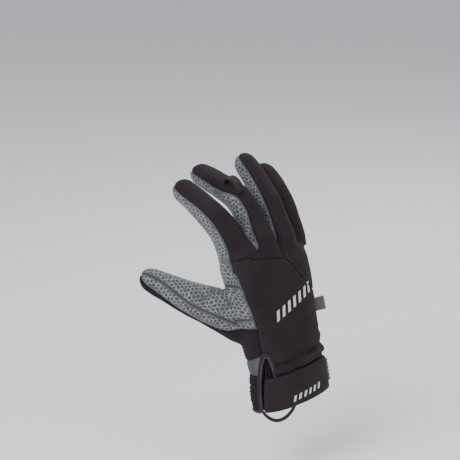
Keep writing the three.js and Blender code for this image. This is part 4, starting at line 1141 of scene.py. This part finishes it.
def between_cloth(a, b):
    def work(points):
        ca, cb = (digit_coordinates(points, finger_form[n], 120) for n in (a, b))
        first = np.column_stack([np.radians(ca["angle"] - 90) * ca["radius"], ca["along"]])
        second = np.column_stack([np.radians(cb["angle"] + 90) * cb["radius"] + 30, cb["along"]])
        return np.where((ca["level"] < cb["level"])[:, None], first, second)
    return work


def noise_field(across, along, layer):
    """Noise at places on a sheet, in the sheet's own shape."""
    found = [noise.noise(Vector((a, b, layer))) for a, b in zip(across.ravel(), along.ravel())]
    return np.array(found).reshape(across.shape)


def shirring(points, seam):
    """Rows of elastic round the cuff, which gather its cloth between them."""
    height, angle = hand_angle(points)
    side = smoothstep(66, 84, np.abs(angle))
    pitch = 4.3
    row = np.cos(2 * np.pi * (height - 1.5) / pitch)
    around = angle * CUFF_ARC
    pucker = noise_field(around / 1.7, height / 9.0, 3.0)
    crease = noise_field(around / 7.0 + height / 9.0, height / 5.0 - around / 22.0, 9.0)
    free = smoothstep(0.5, 4, seam)
    return free * side * (0.95 * row * (0.8 + 0.6 * pucker) + 0.5 * pucker + 0.9 * crease)


def hem_bulge(points):
    """The back panel rolls out over the closed tab."""
    height, angle = hand_angle(points)
    side = 1 - smoothstep(60, 84, np.abs(angle - 14))
    roll = 1.0 + 0.35 * np.sin(angle / 11.0) + 0.25 * np.sin(angle / 4.3 + 1)
    lip = 3.4 * roll * np.exp(-(((height - 40.6) / 2.9) ** 2))
    groove = 1.3 * np.exp(-(((height - 46.8) / 1.9) ** 2))
    bank = 0.9 * np.exp(-(((height - 51.5 - 0.05 * angle) / 2.6) ** 2))
    return side * (lip - groove + bank)


BACK_MARK = slanted_bars((-10.3, -16.6, 94.2), (47.1, -13.3, 109.7), 10, 7)
TAB_MARK = slanted_bars(on_hand(9.4, -24.0, -2.9), on_hand(12.0, 17.0, -3.2), 5.6, 6)
# name: dark shade, light shade, then pitches of the weave and finish
WOVEN = {
    "back_cloth": ((24, 15, 20), (42, 31, 37), dict(mark=BACK_MARK)),
    "soft_cloth": ((18, 9, 16), (35, 22, 32), dict(pitch=(1.3, 0.9), sheen=0.07)),
    "cuff_cloth": ((16, 9, 15), (36, 25, 33), dict(pitch=(1.6, 1.2), weave=0.7)),
    "piping": ((32, 25, 31), (76, 66, 75), dict(pitch=(0.8, 0.8), roughness=0.6, sheen=0.06)),
    "tab_cloth": ((20, 12, 17), (40, 29, 36), dict(pitch=(0.8, 0.8), roughness=0.78, mark=TAB_MARK)),
    "webbing": ((20, 17, 20), (52, 46, 50), dict(pitch=(1.6, 1.1), roughness=0.75, weave=1.0)),
    "label": ((78, 73, 77), (106, 101, 105), dict(pitch=(0.6, 0.6), roughness=0.6, sheen=0.1)),
}
materials = {name: woven(name, dark, light, **finish) for name, (dark, light, finish) in WOVEN.items()}
materials["grip_cloth"] = net_print("grip_cloth")
materials["heel_leather"] = leather("heel_leather", (80, 78, 86))
materials["loop_field"] = fuzzy("loop_field")

# name: slot, flat cloth coordinates, how far the cloth puffs between seams
PANELS = {
    "back_hand": ("back_cloth", hand_cloth, 0.5),
    "back_fingers": ("back_cloth", hand_cloth, 0.5),
    "back_ulnar": ("back_cloth", hand_cloth, 0.5),
    "palm": ("grip_cloth", palm_cloth, 0.35),
    "side_index_middle": ("grip_cloth", between_cloth("index", "middle"), 0.35),
    "side_middle_ring": ("grip_cloth", between_cloth("middle", "ring"), 0.35),
    "side_ring_little": ("grip_cloth", between_cloth("ring", "little"), 0.35),
    "thumb_pad": ("grip_cloth", lambda p: digit_cloth(p, thumb_at, 184), 0.5),
    "thumb_band": ("grip_cloth", lambda p: digit_cloth(p, thumb_at, 184), 0.5),
    "thumb_back": ("soft_cloth", lambda p: digit_cloth(p, thumb_at, 90), 0.5),
    "heel_patch": ("heel_leather", hand_cloth, 0.4),
    "cuff": ("cuff_cloth", hand_cloth, 0.0),
}
# Panels with a row of stitches inside their border, and the thread
STITCHED = {"back_hand": "dark", "back_ulnar": "dark", "thumb_band": "grey", "heel_patch": "grey"}
stitches = {"dark": [], "grey": []}
for name, (slot_name, cloth_of, puff) in PANELS.items():
    points, carried, tris = panels[name]
    if name == "cuff":
        points, carried, tris = split_once(points, carried, tris)
    out = unit(carried[:, -3:])
    seam = border_distance(points, tris)
    cloth = cloth_of(points)
    lift = -1.0 * np.exp(-((seam / 1.15) ** 2)) + puff * (1 - np.exp(-((seam / 4.5) ** 2)))
    if name == "cuff":
        lift = -0.4 * np.exp(-((seam / 0.9) ** 2)) + shirring(points, seam)
    if name in ("back_hand", "back_ulnar"):
        lift = lift + hem_bulge(points)
    points = points + out * lift[:, None]
    if name == "back_hand":
        low = 1 - smoothstep(38.0, 42.5, points[:, 2])
        points[:, 2] -= 1.5 * low * (1 - smoothstep(60, 80, np.abs(hand_angle(points)[1] - 14)))
    if name in STITCHED:
        lines = contour(points, normals_of(points, tris), tris, seam, STITCH_INSET)
        stitches[STITCHED[name]] += stitch_spots(lines, STITCH_PITCH, lambda p: p[:, 2] > CUFF_HEIGHT + 4)
    verts, carried, faces = with_wall(points, np.column_stack([cloth, seam]), tris, WALL)
    piece = mesh_object(name, to_world(verts), faces, materials[slot_name])
    add_attributes(piece.data, carried[:, :2], carried[:, 2])
    declared(piece, [name])


# Trims
def grid_sheet(outer, inner):
    """A closed sheet from two grids of points, with a rim that joins their borders."""
    rows, cols = outer.shape[:2]
    number = np.arange(rows * cols).reshape(rows, cols)
    quads = rows_of_four(number[:-1, :-1], number[:-1, 1:], number[1:, 1:], number[1:, :-1])
    loop = np.concatenate([number[0, :-1], number[:-1, -1], number[-1, :0:-1], number[:0:-1, 0]])
    nxt = np.roll(loop, -1)
    n = rows * cols
    rim = np.stack([nxt, loop, loop + n, nxt + n], -1)
    verts = np.concatenate([outer.reshape(-1, 3), inner.reshape(-1, 3)])
    faces = [tuple(map(int, q)) for q in np.concatenate([quads, quads[:, ::-1] + n, rim])]
    return verts, facing_out(verts, faces)


def trim_cloth(angle, height):
    """Flat cloth coordinates of a trim on the cuff."""
    return np.stack([angle * TRIM_ARC, height], -1)


def add_grid_piece(name, outer, inner, cloth, slot_name, seam=None):
    """A sheet as a finished piece of the glove."""
    if seam is None:
        seam = np.full(cloth.shape[:2], PAST_SEAMS)
    verts, faces = grid_sheet(outer, inner)
    piece = mesh_object(name, to_world(verts), faces, materials[slot_name])
    flat = np.concatenate([cloth.reshape(-1, 2), cloth.reshape(-1, 2)])
    add_attributes(piece.data, flat, np.concatenate([seam.ravel(), seam.ravel()]))
    return declared(piece, [name])


def rounded_patch(rows, cols, length, width, corner):
    """Places in a rounded rectangle: two arrays from -1 to 1, and the edge distance."""
    s, t = np.meshgrid(np.linspace(-1, 1, cols), np.linspace(-1, 1, rows))
    s, t = (np.sin(a * np.pi / 2 * k) / math.sin(np.pi / 2 * k) for a, k in ((s, 0.92), (t, 0.86)))
    x, y = s * length / 2, t * width / 2

    def past_corner(x, y):
        return (np.maximum(np.abs(a) - (size / 2 - corner), 0) for a, size in ((x, length), (y, width)))

    over_x, over_y = past_corner(x, y)
    reach = np.hypot(over_x, over_y)
    square = np.maximum(over_x, over_y)
    shrink = np.where(reach > 1e-6, square / np.maximum(reach, 1e-6), 1)
    x = np.where(over_x > 0, np.sign(x) * (length / 2 - corner + over_x * shrink), x)
    y = np.where(over_y > 0, np.sign(y) * (width / 2 - corner + over_y * shrink), y)
    edge = np.minimum(length / 2 - np.abs(x), width / 2 - np.abs(y))
    corner_edge = corner - np.hypot(*past_corner(x, y))
    edge = np.minimum(edge, np.where(reach > 0, corner_edge, 1e9))
    return x / (length / 2), y / (width / 2), np.maximum(edge, 0)


# Ends of the tab and of the field of loops, in degrees round the cuff
TAB_START = -77.0
TAB_END = 41.0
TAB_SKEW = 8.0
FIELD_START = 8.0
FIELD_END = 76.0
FIELD_BOTTOM = 5.0
FIELD_WALL = 0.9
CLEARANCE = 0.35


def tab_under(angle):
    """How far the tab's underside stands off the cuff."""
    over_field = 2.6 * CLEARANCE + FIELD_WALL - TAB_STAND
    return TAB_STAND + over_field * smoothstep(FIELD_START - 22, FIELD_START - 8, angle)


# Closing tab
s, t, edge = rounded_patch(56, 150, TAB_LENGTH, TAB_HEIGHT, TAB_CORNER)
tab_z = TAB_BOTTOM + TAB_HEIGHT * (t + 1) / 2
tab_from = TAB_START + TAB_SKEW * (tab_z - TAB_BOTTOM) / TAB_HEIGHT
tab_angle = tab_from + (TAB_END - tab_from) * (s + 1) / 2
under = tab_under(tab_angle)
round_edge = np.sqrt(np.clip(1 - (1 - np.clip(edge / 1.3, 0, 1)) ** 2, 0, 1))
soft = 0.35 * smoothstep(1.5, 5.0, edge) - 0.28 * np.exp(-(((edge - 2.3) / 0.7) ** 2))
ripple = noise_field(tab_angle * 0.06, tab_z * 0.09, 2.0)
thick = TAB_WALL * (0.3 + 0.7 * round_edge) + soft + 0.5 * ripple * smoothstep(0, 6, edge)
tab_face = on_hand(tab_z, tab_angle, -(under + thick))
cells = np.arange(tab_face.shape[0] * tab_face.shape[1]).reshape(tab_face.shape[:2])
corners = [c.ravel() for c in (cells[:-1, :-1], cells[:-1, 1:], cells[1:, 1:], cells[1:, :-1])]
tab_tris = np.concatenate([np.stack(corners[:3], 1), np.stack([corners[0], *corners[2:]], 1)])
tab_points = tab_face.reshape(-1, 3)
tab_lines = contour(tab_points, normals_of(tab_points, tab_tris), tab_tris, edge.ravel(), 2.3)
stitches["dark"] += stitch_spots(tab_lines, 2.3)
add_grid_piece("wrist_tab", tab_face, on_hand(tab_z, tab_angle, -(under + 0.3 * (1 - round_edge))),
               trim_cloth(tab_angle, tab_z), "tab_cloth", edge)

# Field of loops, flat under the tab and gathered past it
s, t, edge = rounded_patch(40, 90, FIELD_LENGTH, FIELD_WIDTH, 3)
field_z = FIELD_BOTTOM + FIELD_WIDTH / 2 * (t + 1)
field_angle = FIELD_START + (FIELD_END - FIELD_START) * (s + 1) / 2
fuzz = noise_field(field_angle * 1.1, field_z * 1.4, 5.0)
rise_up = CLEARANCE + (FIELD_WALL + 0.5) * np.sqrt(np.clip(edge / 1.2, 0, 1)) + 0.25 * fuzz
rise_up = np.minimum(rise_up, np.where(field_angle < TAB_END, FIELD_WALL + CLEARANCE, 9))
past = smoothstep(TAB_END + 4, TAB_END + 13, field_angle)
gather = past * smoothstep(0, 2.5, edge) * (1.5 + 0.9 * np.cos(2 * np.pi * field_z / 3.9))
rise_up = rise_up + gather
add_grid_piece("loop_field", on_hand(field_z, field_angle, -rise_up),
               on_hand(field_z, field_angle, -CLEARANCE * 0.6 - 0.8 * gather),
               trim_cloth(field_angle, field_z), "loop_field", edge)

# Gusset, pleated behind the slit
GUSSET_WALL = 1.0
gusset_share, gusset_z = np.meshgrid(np.linspace(0, 1, 110), np.linspace(0.04, 0.93, 60) * SLIT_HEIGHT)
gusset_from = np.interp(gusset_z / SLIT_HEIGHT, [0.05, 0.35, 0.65, 0.88], [-92, -89, -85, -78])
gusset_angle = gusset_from + (-43 - gusset_from) * gusset_share
pleat = 0.5 + 0.5 * np.cos(2 * np.pi * 4 * gusset_share + 0.6 * np.sin(gusset_z / 9))
depth = 2.4 + 2.0 * pleat ** 1.5 + 0.5 * np.sin(gusset_z / 6 + 5 * gusset_share)
add_grid_piece("cuff_gusset", on_hand(gusset_z, gusset_angle, depth),
               on_hand(gusset_z, gusset_angle, depth + GUSSET_WALL),
               trim_cloth(gusset_angle, gusset_z), "soft_cloth")


def tube(line, out, radius, sides=12, closed=True):
    """Round tube along a line, with its distance along and round as cloth coordinates."""
    n = len(line)
    if closed:
        along = unit(np.roll(line, -1, 0) - np.roll(line, 1, 0))
    else:
        along = unit(np.vstack([line[1:], line[-1:]]) - np.vstack([line[:1], line[:-1]]))
    side = unit(np.cross(along, out))
    up = np.cross(side, along)
    a = np.linspace(0, 2 * np.pi, sides, endpoint=False)
    ring = np.cos(a)[None, :, None] * side[:, None] + np.sin(a)[None, :, None] * up[:, None]
    rings = line[:, None] + radius * ring
    verts = rings.reshape(-1, 3)
    j, i = np.meshgrid(np.arange(n if closed else n - 1), np.arange(sides), indexing="ij")
    k, m = (i + 1) % sides, (j + 1) % n
    quads = rows_of_four(j * sides + i, j * sides + k, m * sides + k, m * sides + i)
    faces = [tuple(map(int, q)) for q in quads]
    cloth = stacked(run_along(line)[:, None], a[None] * radius).reshape(-1, 2)
    return verts, facing_out(verts, faces), cloth


# Edging round the slit and the cuff, with a second ridge outside the slit
EDGING_RADIUS = 1.45
BINDING_RADIUS = 1.35
BINDING_SHIFT = 2.7
slit = catmull(np.array([[h * SLIT_HEIGHT, a] for h, a in PIPING], float), np.linspace(0, 1, 150))
turn = np.linspace(0, 1, 240)[1:-1]
around = np.column_stack([bottom_line(-46 + 317 * turn), -46 + 317 * turn])
edge_line = np.vstack([slit, around])
edging = on_hand(edge_line[:, 0], edge_line[:, 1], 0.35)
verts, faces, cloth = tube(edging, hand_out(edge_line[:, 0], edge_line[:, 1]), EDGING_RADIUS, 14)
binding = slit[(slit[:, 0] > 9) | (np.arange(len(slit)) < 75)]
flat = np.column_stack([binding[:, 1] * CUFF_ARC, binding[:, 0]])
ahead = unit(np.gradient(flat, axis=0))
flat = flat + np.column_stack([-ahead[:, 1], ahead[:, 0]]) * BINDING_SHIFT
binding = on_hand(flat[:, 1], flat[:, 0] / CUFF_ARC, -0.55)
binding_out = hand_out(flat[:, 1], flat[:, 0] / CUFF_ARC)
outer_verts, outer_faces, outer_cloth = tube(binding, binding_out, BINDING_RADIUS, 12, closed=False)
ends = [tuple(range(11, -1, -1)), tuple(range(len(outer_verts) - 12, len(outer_verts)))]
outer_faces = facing_out(outer_verts, [*outer_faces, *ends])
seam = np.full(len(verts) + len(outer_verts), PAST_SEAMS)
faces = [*faces, *[tuple(k + len(verts) for k in f) for f in outer_faces]]
verts, cloth = np.concatenate([verts, outer_verts]), np.concatenate([cloth, outer_cloth])
piece = mesh_object("cuff_piping", to_world(verts), faces, materials["piping"])
# Painted shade: the edging's second ridge takes the darker webbing material, which stands in for the shade
# that sets it apart from the lighter piping
piece.data.materials.append(materials["webbing"])
for face in list(piece.data.polygons)[len(faces) - len(outer_faces):]:
    face.material_index = 1
add_attributes(piece.data, cloth, seam)
declared(piece, ["cuff_piping"])


def ribbon(line, out, wide, thick, rows=9):
    """Flat tape along a line, a little rounded at its edges."""
    along = unit(np.gradient(line, axis=0))
    side = unit(np.cross(along, out))
    up = np.cross(side, along)
    t = np.linspace(-1, 1, rows)
    edge = 0.25 + 0.75 * np.sqrt(1 - np.abs(t) ** 6)
    middle = line[:, None] + side[:, None] * (t * wide / 2)[None, :, None]
    lift = up[:, None] * (edge * thick / 2)[None, :, None]
    top, low = middle + lift, middle - lift
    cloth = stacked((t * wide / 2)[None], run_along(line)[:, None])
    return top, low, cloth


# Pull loop under the tab's end
PULL_START = -80.5
PULL_END = -22.0
PULL_DROP = 10.4
PULL_WIDTH = 3.8
PULL_WALL = 1.4
t = np.linspace(0, 1, 60)
pull_angle = PULL_START + (PULL_END - PULL_START) * t
pull = on_hand(0 * t, pull_angle, -(TAB_STAND + PULL_WALL / 2))
pull[:, 2] = TAB_BOTTOM + 1.0 - PULL_DROP * np.sin(np.pi * t) ** 0.7
top, low, cloth = ribbon(pull, hand_out(0 * t, pull_angle), PULL_WIDTH, PULL_WALL)
add_grid_piece("pull_loop", top, low, cloth, "webbing")

# Hanging loop on the middle finger
HANG_PLACE = 0.57
HANG_ANGLE = -10.0
HANG_LENGTH = 14.0
HANG_HEIGHT = 13.0
HANG_WIDTH = 9.0
HANG_WALL = 1.6
middle_at = finger_form["middle"]
section = middle_at([HANG_PLACE])
hang_root = on_finger(middle_at, HANG_PLACE, HANG_ANGLE)
a = math.radians(HANG_ANGLE)
u, v = (power(w, 2 / FINGER_SQUARE) for w in (math.sin(a), math.cos(a)))
across, up = section["across"][0], section["up"][0]
hang_out = unit(across * power(u, FINGER_SQUARE - 1) / section["wide"][0]
                + up * power(v, FINGER_SQUARE - 1) / section["deep"][0])
half_share = HANG_LENGTH / (2 * section["length"])
feet = [on_finger(middle_at, HANG_PLACE + sign * half_share, HANG_ANGLE) + hang_out * 0.1
        for sign in (-1, 1)]
t = np.linspace(0, np.pi, 70)
hang_rise = (HANG_HEIGHT - HANG_WALL / 2) * np.sin(t) ** 0.8
hang = feet[0] + (feet[1] - feet[0]) * ((1 - np.cos(t)) / 2)[:, None] + hang_out * hang_rise[:, None]
away = hang - hang_root
away = away - across * (away @ across)[:, None]
top, low, cloth = ribbon(hang, unit(away), HANG_WIDTH, HANG_WALL, 15)
add_grid_piece("hang_loop", top, low, cloth, "webbing")

# Folded label, standing out from the side of the little finger
LABEL_PLACE = 0.49
LABEL_ANGLE = 68.0
LABEL_LENGTH = 10.0
LABEL_HEIGHT = 14.0
label_out = hand_out(LABEL_PLACE * HAND_LENGTH, LABEL_ANGLE)
label_side = np.cross([0, 0, 1.0], label_out)
label_foot = on_hand(LABEL_PLACE * HAND_LENGTH, LABEL_ANGLE)
label_foot[2] = LABEL_PLACE * HAND_LENGTH
fold = np.linspace(-np.pi / 2, np.pi / 2, 12)[1:-1]
reach = LABEL_LENGTH + 0.3
line = np.concatenate([np.column_stack([np.linspace(-1.5, reach, 24), np.full(24, -0.55)]),
                       np.column_stack([reach + 0.6 * np.cos(fold), 0.55 * np.sin(fold)]),
                       np.column_stack([np.linspace(reach, -1.5, 24), np.full(24, 0.55)])])
label_z = np.linspace(-0.5, 0.5, 30) * LABEL_HEIGHT
bow = 0.5 * np.sin(label_z / 4.5)[:, None] * (line[:, 0] / reach)[None] ** 2
slope = unit(np.gradient(line, axis=0))
inset = line + np.column_stack([-slope[:, 1], slope[:, 0]]) * 0.35
sheets = [label_foot + label_out * a[None, :, 0:1] + label_side * (a[None, :, 1] + bow)[..., None]
          + np.array([0, 0, 1.0]) * label_z[:, None, None] for a in (line, inset)]
cloth = stacked(run_along(line)[None], label_z[:, None])
add_grid_piece("side_label", *sheets, cloth, "label")


# Stitches, a short length of thread at each place along the seams
def stitch_tree():
    """Lays threads on points that carry their directions."""
    tree = bpy.data.node_groups.new("stitches", "GeometryNodeTree")
    tree.interface.new_socket("Places", in_out="INPUT", socket_type="NodeSocketGeometry")
    for label, value in (("Length", 0.0019), ("Thickness", 0.0006)):
        size = tree.interface.new_socket(label, in_out="INPUT", socket_type="NodeSocketFloat")
        size.default_value = value
    tree.interface.new_socket("Seed", in_out="INPUT", socket_type="NodeSocketInt").default_value = 7
    tree.interface.new_socket("Thread", in_out="INPUT", socket_type="NodeSocketMaterial")
    tree.interface.new_socket("Stitches", in_out="OUTPUT", socket_type="NodeSocketGeometry")
    given, result = tree.nodes.new("NodeGroupInput"), tree.nodes.new("NodeGroupOutput")
    ball = node(tree, "GeometryNodeMeshIcoSphere", Radius=0.5, Subdivisions=2).outputs["Mesh"]
    vary = node(tree, "FunctionNodeRandomValue", {"data_type": "FLOAT"})
    tree.links.new(given.outputs["Seed"], vary.inputs["Seed"])
    low, high = [s for s in vary.inputs if s.type == "VALUE" and s.name in ("Min", "Max")][:2]
    low.default_value, high.default_value = 0.85, 1.1
    spread = [s for s in vary.outputs if s.type == "VALUE"][0]
    length = math_node(tree, "MULTIPLY", given.outputs["Length"], spread)
    thick = given.outputs["Thickness"]
    size = node(tree, "ShaderNodeCombineXYZ", X=length, Y=thick, Z=thick).outputs[0]
    vectors = {"data_type": "FLOAT_VECTOR"}
    ahead, out = (node(tree, "GeometryNodeInputNamedAttribute", vectors, Name=name).outputs["Attribute"]
                  for name in ("ahead", "out"))
    ways = {"primary_axis": "X", "secondary_axis": "Z"}
    turn = node(tree, "FunctionNodeAxesToRotation", ways, i_0=ahead, i_1=out).outputs[0]
    placed = node(tree, "GeometryNodeInstanceOnPoints", Points=given.outputs["Places"], Instance=ball,
                  Rotation=turn, Scale=size).outputs[0]
    real = node(tree, "GeometryNodeRealizeInstances", i_0=placed).outputs[0]
    smooth = node(tree, "GeometryNodeSetShadeSmooth", i_0=real).outputs[0]
    finished = node(tree, "GeometryNodeSetMaterial", Geometry=smooth,
                    Material=given.outputs["Thread"]).outputs[0]
    tree.links.new(finished, result.inputs[0])
    return tree


def thread_material(name, dark, light):
    material, tree, shader = new_material(name)
    twist = noise_of(tree, 2600, 2, stretch=(1.0, 1.0, 0.5))
    colour = blend_colour(tree, soft_step(tree, twist, 0.3, 0.7), linear(*dark), linear(*light))
    tree.links.new(colour, shader.inputs["Base Color"])
    shader.inputs["Roughness"].default_value = 0.6
    tree.links.new(bump(tree, [(twist, 0.0001, 0.6)]), shader.inputs["Normal"])
    return material


sewing = stitch_tree()
THREADS = [("dark", ((34, 27, 32), (66, 56, 62)), "back_cloth"),
           ("grey", ((62, 62, 68), (112, 114, 120)), "grip_cloth")]
for shade, tones, slot_name in THREADS:
    rows = np.concatenate(stitches[shade])
    seeds = mesh_object("places", to_world(rows[:, :3] + rows[:, 3:6] * 0.1), [], smooth=False)
    for label, columns in (("out", rows[:, 3:6]), ("ahead", rows[:, 6:9])):
        layer = seeds.data.attributes.new(label, "FLOAT_VECTOR", "POINT")
        layer.data.foreach_set("vector", columns.ravel())
    sew = seeds.modifiers.new("Stitches", "NODES")
    sew.node_group = sewing
    thread_socket = [s.identifier for s in sewing.interface.items_tree if s.name == "Thread"][0]
    sew[thread_socket] = thread_material("thread_" + shade, *tones)
    made = bpy.data.meshes.new_from_object(seeds.evaluated_get(bpy.context.evaluated_depsgraph_get()))
    bpy.data.objects.remove(seeds)
    piece = bpy.data.objects.new("stitches_" + shade, made)
    bpy.context.scene.collection.objects.link(piece)
    declared(piece, [])

# Camera at the photo's angle
AZIMUTH = -40.0
ELEVATION = 15.0
ROLL = 11.5
DISTANCE = 2200.0
FRAME_WIDTH = 460.0
SENSOR = 36
AIM = np.array([0, 0, 153])
AIM_RIGHT = -30
AIM_UP = 28
azimuth, elevation, roll = (math.radians(v) for v in (AZIMUTH, ELEVATION, ROLL))
level = math.cos(elevation)
back = np.array([math.sin(azimuth) * level, -math.cos(azimuth) * level, math.sin(elevation)])
right = np.array([math.cos(azimuth), math.sin(azimuth), 0.0])
up = np.cross(back, right)
right, up = right * math.cos(roll) - up * math.sin(roll), right * math.sin(roll) + up * math.cos(roll)
camera_data = bpy.data.cameras.new("camera")
camera_data.sensor_width = SENSOR
camera_data.lens = SENSOR * DISTANCE / FRAME_WIDTH
camera_data.clip_end = 50
camera = bpy.data.objects.new("camera", camera_data)
bpy.context.scene.collection.objects.link(camera)
place = to_world(AIM + back * DISTANCE + right * AIM_RIGHT + up * AIM_UP)
camera.matrix_world = Matrix([[right[k], up[k], back[k], place[k]] for k in range(3)] + [[0, 0, 0, 1]])
bpy.context.scene.camera = camera

# Pale floor, some way under the glove
FLOOR_DROP = 70
FLOOR_REACH = 12
floor_data = bpy.data.meshes.new("floor")
floor_middle = to_world(np.array([0, 0, -FLOOR_DROP]))
toward = back * math.cos(elevation) - up * math.sin(elevation)
ways = (-1, -1), (1, -1), (1, 1), (-1, 1)
corners = [floor_middle + (right * a + toward * b) * FLOOR_REACH for a, b in ways]
floor_data.from_pydata([tuple(c) for c in corners], [], [(0, 1, 2, 3)])
floor = bpy.data.objects.new("floor", floor_data)
bpy.context.scene.collection.objects.link(floor)
floor_material, tree, shader = new_material("floor")
shader.inputs["Base Color"].default_value = (0.93, 0.93, 0.94, 1)
shader.inputs["Roughness"].default_value = 0.9
floor_data.materials.append(floor_material)


# Soft studio light
def area_light(name, toward, distance, size, watts):
    """A round lamp that looks at the glove from a direction seen from the camera."""
    data = bpy.data.lights.new(name, "AREA")
    data.shape = "DISK"
    data.size = size
    data.energy = watts
    made = bpy.data.objects.new(name, data)
    bpy.context.scene.collection.objects.link(made)
    target = Vector(to_world(np.array([0, 0, 130])))
    direction = Vector(right * toward[0] + up * toward[1] + back * toward[2]).normalized()
    made.location = target + direction * distance
    made.rotation_euler = direction.to_track_quat("Z", "Y").to_euler()


area_light("key", (-0.9, 1.0, 1.3), 1.6, 0.9, 20)
area_light("fill", (1.2, 0.2, 1.0), 1.8, 1.2, 6)
area_light("rim", (0.4, 1.2, -0.5), 1.5, 0.8, 12)
world = bpy.data.worlds.new("world")
world.use_nodes = True
sky = world.node_tree.nodes["Background"]
sky.inputs["Color"].default_value = (0.93, 0.95, 1.0, 1)
sky.inputs["Strength"].default_value = 0.55
bpy.context.scene.world = world
